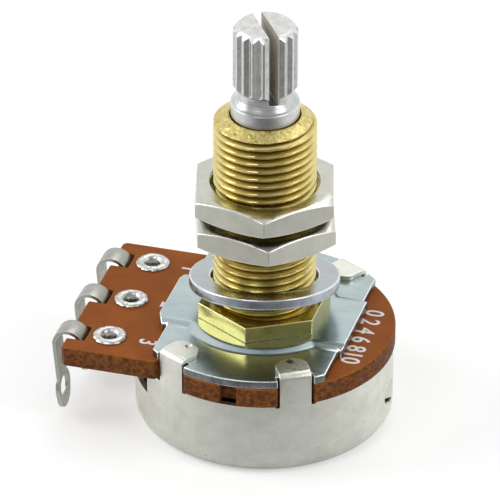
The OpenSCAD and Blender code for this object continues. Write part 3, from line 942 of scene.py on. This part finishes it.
@dataclass
class Screw:
    """The helix of the bushing's thread. The nuts' bores are plain.

    Args:
        pitch: Rise of one turn.
        depth: Depth of the groove.
        crest_share: Share of the pitch that the crest takes.
        root_share: Share of the pitch that the groove's bottom takes.
        start_z: Height of a crest on the +X side.
    """

    pitch: float = 0.79375
    depth: float = 0.5
    crest_share: float = 0.22
    root_share: float = 0.1
    start_z: float = 12.15

    def dip(self, height: float, angle: float) -> float:
        """Gives the depth of the groove at a place.

        Args:
            height: The height in millimetres.
            angle: The angle round the axis in radians.

        Returns:
            The depth under the crest in millimetres.
        """
        turn = ((height - self.start_z) / self.pitch - angle / (2.0 * math.pi)) % 1.0
        off_crest = 1.0 - abs(2.0 * turn - 1.0)
        slope = (off_crest - self.crest_share) / (1.0 - self.crest_share - self.root_share)
        return self.depth * min(1.0, max(0.0, slope))


@dataclass
class Bushing:
    """The turned brass bushing, with its hexagon and its thread.

    Args:
        bench: Where the piece is made.
        screw: The thread's helix.
        steps: Segments round the barrel.
        rows: Rows of faces in one pitch.
        thread_r: Outer radius of the thread.
        thread_slack: How closely that radius is matched.
        thread_in: How far the thread runs down into the hexagon.
        bore_r: Radius of the bore.
        lip_r: Radius of the upper end's highest ring.
        lip_drop: Drop from that ring to the bore.
        cone_h: Height of the cone at the upper end.
        cone_tilt: Upward part of a face's normal from which it belongs to that end.
        nose_r: Radius of the nose inside the can.
        swage_r: Radius of the rim that is spread under the plate.
        swage_h: Thickness of that rim.
        swage_drop: Depth of its upper side under the hexagon's foot.
        spigot_r: Radius of the part in the plate's hole.
        spigot_gap: Height of the step from that part to the thread's radius.
        hexagon_h: Height of the hexagon.
        hexagon_af: Its width across the flats.
        hexagon_round: Width of the rounds along its edges.
    """

    bench: Bench
    screw: Screw
    steps: int = 120
    rows: int = 14
    thread_r: float = 4.7625
    thread_slack: float = 0.01
    thread_in: float = 0.3
    bore_r: float = 3.2
    lip_r: float = 3.3
    lip_drop: float = 0.2
    cone_h: float = 0.7
    cone_tilt: float = 0.2
    nose_r: float = 4.2
    swage_r: float = 5.6
    swage_h: float = 0.3
    swage_drop: float = 0.8
    spigot_r: float = 4.9
    spigot_gap: float = 0.02
    hexagon_h: float = 1.6
    hexagon_af: float = 11.0
    hexagon_round: float = 0.1

    def __post_init__(self) -> None:
        """Reads where the hexagon stands: on top of the plate's boss."""
        self.hexagon_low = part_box("front_plate")[1].z / MM
        self.hexagon_high = self.hexagon_low + self.hexagon_h
        self.swage_top = self.hexagon_low - self.swage_drop

    def build(self) -> None:
        """Makes and dresses the bushing."""
        low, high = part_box("bushing")
        shape = self._barrel(low.z / MM, high.z / MM)
        cone_low = high.z - self.cone_h * MM
        for face in shape.faces:
            on_end = face.normal.z > self.cone_tilt and face.calc_center_median().z > cone_low
            face.material_index = 3 if on_end else 0
        hexagon = self._hexagon()
        joined = bpy.data.meshes.new("hexagon")
        hexagon.to_mesh(joined)
        hexagon.free()
        shape.from_mesh(joined)
        bpy.data.meshes.remove(joined)
        self.bench.finish_piece(
            shape, "bushing_threaded", Body.HOUSING, Slot.BRASS,
            [BRASS_TURNED, BRASS_BAR, BRASS_EDGE_HIGHLIGHT, BRASS_END], ["bushing"], sharp_deg=38.0,
        )

    def _barrel(self, low: float, high: float) -> bmesh.types.BMesh:
        """Turns the barrel and cuts the thread into it.

        Args:
            low: The bushing's lowest height.
            high: Its highest height.

        Returns:
            The barrel.
        """
        row = self.screw.pitch / self.rows
        count = round((high - self.hexagon_low) / row)
        wall = [
            (self.thread_r, self.hexagon_low + (high - self.hexagon_low) * i / count)
            for i in range(count)
        ]
        profile = [
            (self.bore_r, low), (self.nose_r, low), (self.nose_r, self.swage_top - self.swage_h),
            (self.swage_r, self.swage_top - self.swage_h), (self.swage_r, self.swage_top),
            (self.spigot_r, self.swage_top), (self.spigot_r, self.hexagon_low - self.spigot_gap),
            *wall, (self.lip_r, high), (self.bore_r, high - self.lip_drop),
        ]
        shape = lathe(profile, self.steps)
        for vert in shape.verts:
            height = vert.co.z / MM
            radius = math.hypot(vert.co.x, vert.co.y) / MM
            on_wall = abs(radius - self.thread_r) < self.thread_slack
            if on_wall and height > self.hexagon_high - self.thread_in:
                angle = math.atan2(vert.co.y, vert.co.x)
                cut = self.thread_r - self.screw.dip(height, angle)
                slope = (high - height) / self.cone_h
                cone = self.lip_r + (self.thread_r - self.lip_r) * min(1.0, slope)
                scale = min(cut, cone) / radius
                vert.co.x *= scale
                vert.co.y *= scale
        shape.normal_update()
        return shape

    def _hexagon(self) -> bmesh.types.BMesh:
        """Makes the hexagon, with its edges softened.

        Returns:
            The hexagon.
        """
        shape = bmesh.new()
        radius = self.hexagon_af / 2.0 / math.cos(math.pi / 6.0)
        height = self.hexagon_high - self.hexagon_low
        middle = Matrix.Translation((0.0, 0.0, (self.hexagon_low + height / 2.0) * MM))
        bmesh.ops.create_cone(
            shape, cap_ends=True, segments=6, radius1=radius * MM, radius2=radius * MM,
            depth=height * MM, matrix=middle,
        )
        for face in shape.faces:
            face.material_index = 1
        # The hexagon's rounds are painted with a highlight.
        soften(shape, self.hexagon_round, CUT_DEG, number=2)
        return shape


@dataclass
class Nuts:
    """The two loose nuts.

    Args:
        bench: Where the pieces are made.
        edge_width: Width of the rounds along the corners.
        arc_width: Width of the band where the chamfer meets the flats, which is painted as a highlight.
        flat_tilt: Upward part of a face's normal up to which it is a flat.
        chamfer_tilts: Upward parts of a normal between which a face is a chamfer.
    """

    bench: Bench
    edge_width: float = 0.04
    arc_width: float = 0.11
    flat_tilt: float = 0.1
    chamfer_tilts: tuple[float, float] = (0.3, 0.96)

    def build(self) -> None:
        """Makes and dresses both nuts."""
        for node, body in (("lower_nut", Body.DEPTH_NUT), ("upper_nut", Body.CLAMP_NUT)):
            shape = self.bench.copy_of(node)
            # The round between chamfer and flats is painted with a highlight.
            soften(shape, self.arc_width, CUT_DEG, number=1, wanted=self._on_arc)
            soften(shape, self.edge_width, CUT_DEG)
            self.bench.finish_piece(
                shape, f"{node}_hexagon", body, Slot.NICKEL,
                [NICKEL_SATIN, NICKEL_EDGE_HIGHLIGHT], [node], sharp_deg=30.0,
            )

    def _on_arc(self, edge: bmesh.types.BMEdge) -> bool:
        """Tells whether a chamfer meets a flat at an edge.

        Args:
            edge: The edge, with two faces.

        Returns:
            True if it is such an edge.
        """
        low, high = self.chamfer_tilts
        flat, slope = sorted(abs(face.normal.z) for face in edge.link_faces)
        return flat < self.flat_tilt and low < slope < high


@dataclass
class Washer:
    """The tipped flat washer.

    Args:
        bench: Where the piece is made.
        edge_width: Width of the rounds along the edges.
        side_tilt: Upward part of a face's normal up to which it is a sheared side.
    """

    bench: Bench
    edge_width: float = 0.14
    side_tilt: float = 0.5

    def build(self) -> None:
        """Makes and dresses the washer."""
        shape = self.bench.copy_of("flat_washer")
        for face in shape.faces:
            face.material_index = 1 if abs(face.normal.z) < self.side_tilt else 0
        # The washer's rounds are painted with a highlight.
        soften(shape, self.edge_width, CUT_DEG, number=2)
        self.bench.finish_piece(
            shape, "washer_tipped", Body.HOUSING, Slot.WASHER,
            [WASHER_ZINC, WASHER_CUT, WASHER_EDGE_HIGHLIGHT], ["flat_washer"], sharp_deg=40.0,
        )


@dataclass
class Shaft:
    """The turned, knurled and split shaft.

    Args:
        bench: Where the piece is made.
        edge_width: Width of the rounds along the teeth and the slot.
        edge_deg: Angle from which an edge is rounded.
        knurl_len: Length of the knurled end.
        slot_half_w: Distance from the axis within which an upright face is the slot's.
        upright_tilt: Upward part of a face's normal up to which it is upright.
        chamfer_tilts: Upward parts of a normal between which a face is the end's chamfer.
    """

    bench: Bench
    edge_width: float = 0.05
    edge_deg: float = 32.0
    knurl_len: float = 6.65
    slot_half_w: float = 0.6
    upright_tilt: float = 0.1
    chamfer_tilts: tuple[float, float] = (0.3, 0.9)

    def build(self) -> None:
        """Makes and dresses the shaft."""
        shape = self.bench.copy_of("shaft")
        knurl_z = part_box("shaft")[1].z / MM - self.knurl_len
        low, high = self.chamfer_tilts
        for face in shape.faces:
            place = face.calc_center_median() / MM
            upright = abs(face.normal.z) < self.upright_tilt
            in_slot = upright and abs(place.xy.dot(face.normal.xy)) < self.slot_half_w
            on_chamfer = low < face.normal.z < high
            if place.z > knurl_z:
                # The end's upward chamfer takes a paler tone, a painted highlight.
                face.material_index = 3 if in_slot else 2 if on_chamfer else 1
        # The rounds along the teeth and the slot take that painted highlight too.
        soften(shape, self.edge_width, self.edge_deg, segments=2, number=2)
        self.bench.finish_piece(
            shape, "shaft_knurled", Body.SPINDLE, Slot.SHAFT,
            [SHAFT_METAL, KNURL_METAL, SHAFT_EDGE_HIGHLIGHT, SLOT_METAL], ["shaft"],
        )


@dataclass
class Lugs:
    """The three curled solder lugs.

    Args:
        bench: Where the pieces are made.
        edge_width: Width of the rounds along the strip's edges.
        edge_deg: Angle from which an edge is rounded.
    """

    bench: Bench
    edge_width: float = 0.06
    edge_deg: float = 40.0

    def build(self) -> None:
        """Makes and dresses the lugs."""
        for number in LUG_NUMBERS:
            node = f"lug_{number}"
            shape = self.bench.copy_of(node)
            # The strip's rounded edges are painted with a highlight.
            soften(shape, self.edge_width, self.edge_deg, segments=2, number=1)
            self.bench.finish_piece(
                shape, f"lug_strip_{number}", Body.HOUSING, Slot.LUG, [LUG_TIN, LUG_EDGE_HIGHLIGHT], [node]
            )


@dataclass
class Rivets:
    """The three hollow rivets with their ragged rolled rims.

    Args:
        bench: Where the pieces are made.
        steps: Segments round a rivet.
        splits: Cracks round a rim.
        split_half_w: Angle in radians from a crack's middle to its side.
        flange: Outline of the lower flange, as radius and height over the rivet's lowest side.
        rolled: Outline of the rolled rim and the bore, as radius and height over the rim's top.
        rim_r: Radius of the rolled rim.
        rim_h: Height of the rolled rim.
        level_h: Height over the rim's foot up to which no corner is lifted or lowered.
        whole_r: Radius up to which the rim keeps its radius.
        ripples: Unevennesses round the rim, as the radius of the ring on which noise is read.
        ripple: Depth of the unevenness, as a share of the radius and in height.
        tear: Depth of a crack, in the same two ways.
        seeds: Range of the numbers that tell the rims' noise apart.
    """

    bench: Bench
    steps: int = 72
    splits: int = 7
    split_half_w: float = 0.09
    flange: Profile = ((0.6, 0.0), (1.5, 0.0), (1.55, 0.15), (1.5, 0.3), (0.9, 0.3))
    rolled: Profile = (
        (0.9, -0.33), (1.54, -0.33), (1.6, -0.26), (1.52, -0.15), (1.35, -0.06),
        (1.15, 0.0), (0.98, -0.05), (0.78, -0.2), (0.64, -0.45), (0.6, -0.9),
    )
    rim_r: float = 1.6
    rim_h: float = 0.35
    level_h: float = 0.05
    whole_r: float = 1.0
    ripples: float = 3.0
    ripple: tuple[float, float] = (0.035, 0.05)
    tear: tuple[float, float] = (0.07, 0.06)
    seeds: float = 50.0

    def build(self) -> None:
        """Makes and dresses the rivets."""
        for number in LUG_NUMBERS:
            node = f"rivet_{number}"
            low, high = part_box(node)
            shape = self._rivet(low.z / MM, high.z / MM, random.Random(number))
            middle = (low + high) / 2.0
            bmesh.ops.translate(shape, verts=shape.verts, vec=(middle.x, middle.y, 0.0))
            self.bench.finish_piece(
                shape, f"rivet_rolled_{number}", Body.HOUSING, Slot.RIVET,
                [RIVET_TIN], [node], sharp_deg=60.0,
            )

    def _rivet(self, low: float, high: float, chance: random.Random) -> bmesh.types.BMesh:
        """Turns one rivet and tears its rim.

        Args:
            low: Its lowest height.
            high: Its highest height.
            chance: Where the tears come from.

        Returns:
            The rivet, centred on the Z axis.
        """
        seat = high - self.rim_h
        flange = [(radius, low + height) for radius, height in self.flange]
        rolled = [(radius, high + height) for radius, height in self.rolled]
        shape = lathe(flange + rolled, self.steps)
        full = 2.0 * math.pi
        cracks = [chance.uniform(0.0, full) for _ in range(self.splits)]
        seed = chance.uniform(0.0, self.seeds)
        for vert in shape.verts:
            height = vert.co.z / MM
            radius = math.hypot(vert.co.x, vert.co.y) / MM
            if height < seat:
                continue
            angle = math.atan2(vert.co.y, vert.co.x)
            spot = Vector((self.ripples * math.cos(angle), self.ripples * math.sin(angle), seed))
            ripple = noise.noise(spot)
            nearest = min(abs((angle - crack + math.pi) % full - math.pi) for crack in cracks)
            crack = max(0.0, 1.0 - nearest / self.split_half_w)
            outer = max(0.0, (radius - self.whole_r) / (self.rim_r - self.whole_r))
            scale = 1.0 + outer * (self.ripple[0] * ripple - self.tear[0] * crack)
            vert.co.x *= scale
            vert.co.y *= scale
            top = max(0.0, (height - seat - self.level_h) / self.rim_h)
            lift = (self.ripple[1] * ripple - self.tear[1] * crack * outer) * top
            vert.co.z = min(high * MM, vert.co.z + lift * MM)
        return shape


@dataclass
class InnerPieces:
    """What the closed housing holds: the solids stay and get their finishes.

    Args:
        bench: Where the nodes are.
        finishes: Each node's finish.
    """

    bench: Bench
    finishes: dict[str, Finish] = field(
        default_factory=lambda: {
            "carbon_track": CARBON_FILM,
            "collector_ring": SILVERED,
            "rotor": ROTOR_PLASTIC,
            "wiper_spring": SPRING_BRONZE,
            "retaining_ring": RING_STEEL,
            "thrust_washer": FIBRE_SHEET,
        }
    )

    def build(self) -> None:
        """Dresses the inner pieces."""
        for node, finish in self.finishes.items():
            self.bench.repaint(node, finish)


@dataclass
class Print:
    """The white numbers on the wafer.

    Args:
        bench: Where the pieces are made.
        ink_h: Thickness of the ink.
        lug_number_size: Type size of the numbers beside the rivets.
        stroke: How much the strokes are thickened on each side.
        narrow: Width of the numbers as a share of the type's own.
        lug_number_x: Where the numbers beside the rivets stand along X.
        dial_size: Type size of the numbers on the free side.
        dial_x: Where those stand along X.
        dial_from_y: Where the first of them stands along Y.
        dial_step: Distance from one to the next.
        dial_numbers: What they say, in order.
        weld_share: Corners nearer than this share of WELD become one.
    """

    bench: Bench
    ink_h: float = 0.02
    lug_number_size: float = 2.4
    stroke: float = 0.04
    narrow: float = 0.84
    lug_number_x: float = -9.3
    dial_size: float = 2.5
    dial_x: float = 9.45
    dial_from_y: float = 4.0
    dial_step: float = 1.62
    dial_numbers: tuple[str, ...] = ("0", "2", "4", "6", "8", "10")
    weld_share: float = 0.1

    def build(self) -> None:
        """Prints the lug numbers and the dial numbers."""
        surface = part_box("wafer")[1].z / MM
        for number in LUG_NUMBERS:
            rivet = sum(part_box(f"rivet_{number}"), Vector()) / 2.0 / MM
            foot = (self.lug_number_x, rivet.y, surface)
            self._word(str(number), f"lug_number_{number}", self.lug_number_size, foot)
        for i, word in enumerate(self.dial_numbers):
            foot = (self.dial_x, self.dial_from_y - i * self.dial_step, surface)
            self._word(word, f"dial_number_{word}", self.dial_size, foot)

    def _word(
        self, word: str, name: str, size: float, foot: tuple[float, float, float]
    ) -> None:
        """Prints one number.

        Args:
            word: What it says.
            name: The piece's name.
            size: Its type size.
            foot: The point on the printed surface under its middle.
        """
        x, y, z = foot
        curve = bpy.data.curves.new(name, "FONT")
        curve.body = word
        curve.size = size * MM
        curve.align_x = "CENTER"
        curve.align_y = "CENTER"
        curve.extrude = self.ink_h / 2.0 * MM
        curve.offset = self.stroke * MM
        holder = bpy.data.objects.new(name, curve)
        bpy.context.scene.collection.objects.link(holder)
        bpy.context.view_layer.update()
        flat = bpy.data.meshes.new_from_object(holder)
        bpy.data.objects.remove(holder)
        bpy.data.curves.remove(curve)
        shape = bmesh.new()
        shape.from_mesh(flat)
        bpy.data.meshes.remove(flat)
        bmesh.ops.remove_doubles(shape, verts=shape.verts, dist=WELD * MM * self.weld_share)
        place = Matrix.Translation((x * MM, y * MM, (z + self.ink_h / 2.0) * MM))
        turned = Matrix.Rotation(-math.pi / 2.0, 4, "Z") @ Matrix.Scale(self.narrow, 4, (1.0, 0.0, 0.0))
        bmesh.ops.transform(shape, matrix=place @ turned, verts=shape.verts)
        self.bench.finish_piece(shape, name, Body.HOUSING, None, [INK])


@dataclass
class Studio:
    """The floor, the lamps and the camera.

    Args:
        azimuth_deg: The camera's angle round the part, 0 looking along +Y.
        elevation_deg: The camera's height over the horizon.
        roll_deg: The camera's turn about its own axis.
        distance: The camera's distance from the middle of the hexagon's foot.
        lens: Its focal length on a 36 mm sensor.
        aim_right: How far right of that foot the camera aims.
        aim_up: How far above it.
        floor_size: Width of the floor in metres.
        floor_drop: How far in metres it lies under the part, so that their faces don't meet.
        world_level: How strongly the surroundings light the part.
        room_level: How bright the room on the camera's side and overhead shows in metal.
        room_rise: How much of that dim room lies overhead.
        room_edge: Where the white ends and where the dim room is full.
        floor_levels: The floor's white, and its grey in metal on the camera's side.
        floor_glow: How far the floor's white is lifted where it is seen.
        near_floor: Where that grey starts and where it is full, as a share of facing the camera.
        far_floor: Distances in metres from the axis between which that grey grows to its full.
        near_share: Share of the grey at the nearer one.
        lamp_distance: Distance of the lamps from the part in metres.
        lamp_aim_z: Height in metres that they look at.
    """

    azimuth_deg: float = 15.94
    elevation_deg: float = 31.54
    roll_deg: float = -0.14
    distance: float = 555.6
    lens: float = 430.8
    aim_right: float = -1.364
    aim_up: float = 5.471
    floor_size: float = 4.0
    floor_drop: float = 0.00002
    world_level: float = 0.4
    room_level: float = 0.1
    room_rise: float = 0.35
    room_edge: tuple[float, float] = (0.1, 0.8)
    floor_levels: tuple[float, float] = (0.8, 0.27)
    floor_glow: float = 0.38
    near_floor: tuple[float, float] = (0.2, 0.98)
    far_floor: tuple[float, float] = (0.018, 0.045)
    near_share: float = 0.5
    lamp_distance: float = 1.05
    lamp_aim_z: float = 0.02

    def build(self) -> None:
        """Sets up everything round the part."""
        bpy.context.scene.view_settings.view_transform = "Standard"
        self._camera()
        self._floor()
        self._world()
        self._lamp("left_lamp", turn_deg=-95.0, rise_deg=33.0, size=0.6, power=3.0)
        self._lamp("front_lamp", turn_deg=-36.0, rise_deg=56.0, size=0.5, power=1.4)
        self._lamp("right_lamp", turn_deg=62.0, rise_deg=40.0, size=0.6, power=2.2)
        self._lamp("back_lamp", turn_deg=160.0, rise_deg=57.0, size=0.7, power=1.6)

    def _camera(self) -> None:
        """Puts the camera at the photograph's place."""
        azimuth, elevation = math.radians(self.azimuth_deg), math.radians(self.elevation_deg)
        back = Vector(
            (
                math.sin(azimuth) * math.cos(elevation),
                -math.cos(azimuth) * math.cos(elevation),
                math.sin(elevation),
            )
        )
        right = Vector((math.cos(azimuth), math.sin(azimuth), 0.0))
        up = back.cross(right)
        anchor = Vector((0.0, 0.0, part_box("front_plate")[1].z / MM))
        place = anchor + back * self.distance
        aim = anchor + right * self.aim_right + up * self.aim_up
        data = bpy.data.cameras.new("photo_camera")
        data.sensor_width = 36.0
        data.lens = self.lens
        data.clip_start, data.clip_end = 0.01, 20.0
        camera = bpy.data.objects.new("photo_camera", data)
        camera.rotation_mode = "QUATERNION"
        camera.location = place * MM
        look = (aim - place).normalized()
        turned = Matrix.Rotation(math.radians(self.roll_deg), 3, look)
        camera.rotation_quaternion = (turned @ look.to_track_quat("-Z", "Y").to_matrix()).to_quaternion()
        bpy.context.scene.collection.objects.link(camera)
        bpy.context.scene.camera = camera

    def _floor(self) -> None:
        """Lays the white floor, which keeps the part's shadow."""
        shape = bmesh.new()
        half = self.floor_size / 2.0
        bmesh.ops.create_grid(shape, x_segments=1, y_segments=1, size=half)
        bmesh.ops.translate(shape, verts=shape.verts, vec=(0.0, 0.0, -self.floor_drop))
        mesh = bpy.data.meshes.new("floor")
        shape.to_mesh(mesh)
        shape.free()
        floor = bpy.data.objects.new("floor", mesh)
        bpy.context.scene.collection.objects.link(floor)
        mesh.materials.append(self._floor_paint())

    def _floor_paint(self) -> bpy.types.Material:
        """Makes a matte white that metal shows as grey on the camera's side.

        Returns:
            The floor's material.
        """
        material = bpy.data.materials.new("floor_white")
        material.use_nodes = True
        sheet = Sheet(material.node_tree)
        shader = material.node_tree.nodes["Principled BSDF"]
        shader.inputs["Roughness"].default_value = 0.9
        shader.inputs["Specular IOR Level"].default_value = 0.0
        place = sheet.add("ShaderNodeTexCoord")
        outward = sheet.add("ShaderNodeVectorMath", operation="NORMALIZE")
        sheet.join(place.outputs["Object"], outward.inputs[0])
        toward = self._toward_camera(sheet, outward.outputs[0], 0.0)
        nearness = sheet.ramp(toward, self.near_floor, (0.0, 1.0))
        length = sheet.add("ShaderNodeVectorMath", operation="LENGTH")
        sheet.join(place.outputs["Object"], length.inputs[0])
        reach = sheet.ramp(length.outputs["Value"], self.far_floor, (self.near_share, 1.0))
        path = sheet.add("ShaderNodeLightPath")
        dim = sheet.maths("MULTIPLY", nearness, path.outputs["Is Glossy Ray"])
        dim = sheet.maths("MULTIPLY", dim, reach)
        white, grey = ((level, level, level) for level in self.floor_levels)
        sheet.join(sheet.blend(dim, white, grey), shader.inputs["Base Color"])
        shader.inputs["Emission Color"].default_value = (1.0, 1.0, 1.0, 1.0)
        glow = sheet.maths("SUBTRACT", self._seen_rays(sheet), dim)
        sheet.join(sheet.maths("MULTIPLY", glow, self.floor_glow), shader.inputs["Emission Strength"])
        return material

    def _toward_camera(
        self, sheet: Sheet, direction: bpy.types.NodeSocket, rise: float
    ) -> bpy.types.NodeSocket:
        """Tells how far a direction points to the camera's side.

        Args:
            sheet: The sheet to draw in.
            direction: The direction's socket.
            rise: How much overhead counts as that side too.

        Returns:
            The socket of the share, from -1 to 1 for a level direction.
        """
        azimuth = math.radians(self.azimuth_deg)
        toward = sheet.add("ShaderNodeVectorMath", operation="DOT_PRODUCT")
        toward.inputs[1].default_value = (math.sin(azimuth), -math.cos(azimuth), rise)
        sheet.join(direction, toward.inputs[0])
        return toward.outputs["Value"]

    @staticmethod
    def _seen_rays(sheet: Sheet) -> bpy.types.NodeSocket:
        """Gives 1 for rays from the camera and from gloss or glass, and 0 for the rest.

        Args:
            sheet: The sheet to draw in.

        Returns:
            The number's socket.
        """
        path = sheet.add("ShaderNodeLightPath")
        both = sheet.maths("MAXIMUM", path.outputs["Is Camera Ray"], path.outputs["Is Glossy Ray"])
        return sheet.maths("MAXIMUM", both, path.outputs["Is Transmission Ray"])

    def _world(self) -> None:
        """Surrounds the part with soft white, which metal shows dim on the camera's side."""
        world = bpy.data.worlds.new("studio_white")
        bpy.context.scene.world = world
        world.use_nodes = True
        sheet = Sheet(world.node_tree)
        background = world.node_tree.nodes["Background"]
        background.inputs["Color"].default_value = (1.0, 1.0, 1.0, 1.0)
        place = sheet.add("ShaderNodeTexCoord")
        toward = self._toward_camera(sheet, place.outputs["Generated"], self.room_rise)
        room = sheet.ramp(toward, self.room_edge, (1.0, self.room_level))
        path = sheet.add("ShaderNodeLightPath")
        shown = sheet.maths("MAXIMUM", room, path.outputs["Is Camera Ray"])
        seen = sheet.maths("MULTIPLY", self._seen_rays(sheet), shown)
        sheet.join(sheet.maths("MAXIMUM", seen, self.world_level), background.inputs["Strength"])

    def _lamp(self, name: str, turn_deg: float, rise_deg: float, size: float, power: float) -> None:
        """Hangs a soft box that looks at the part.

        Args:
            name: The lamp's name.
            turn_deg: Its angle round the part, from the camera's, anticlockwise seen from above.
            rise_deg: Its height over the horizon.
            size: Its width in metres.
            power: Its power in watts.
        """
        turn = math.radians(turn_deg + self.azimuth_deg - 90.0)
        rise = math.radians(rise_deg)
        aim = Vector((0.0, 0.0, self.lamp_aim_z))
        step = Vector((math.cos(turn) * math.cos(rise), math.sin(turn) * math.cos(rise), math.sin(rise)))
        data = bpy.data.lights.new(name, "AREA")
        data.shape = "DISK"
        data.size = size
        data.energy = power
        lamp = bpy.data.objects.new(name, data)
        lamp.location = aim + step * self.lamp_distance
        lamp.rotation_mode = "QUATERNION"
        lamp.rotation_quaternion = (-step).to_track_quat("-Z", "Y")
        bpy.context.scene.collection.objects.link(lamp)


def main() -> None:
    """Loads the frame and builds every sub-assembly."""
    logging.basicConfig(level=logging.INFO, format="%(name)s: %(message)s")
    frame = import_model()
    bench = Bench(frame, Paintbox())
    screw = Screw()
    assemblies: list[Any] = [
        Studio(),
        Can(bench),
        Wafer(bench),
        FrontPlate(bench),
        Bushing(bench, screw),
        Nuts(bench),
        Washer(bench),
        Shaft(bench),
        Lugs(bench),
        Rivets(bench),
        InnerPieces(bench),
        Print(bench),
    ]
    for assembly in assemblies:
        assembly.build()
        LOG.info("%s is done", type(assembly).__name__)


if __name__ == "__main__":
    main()
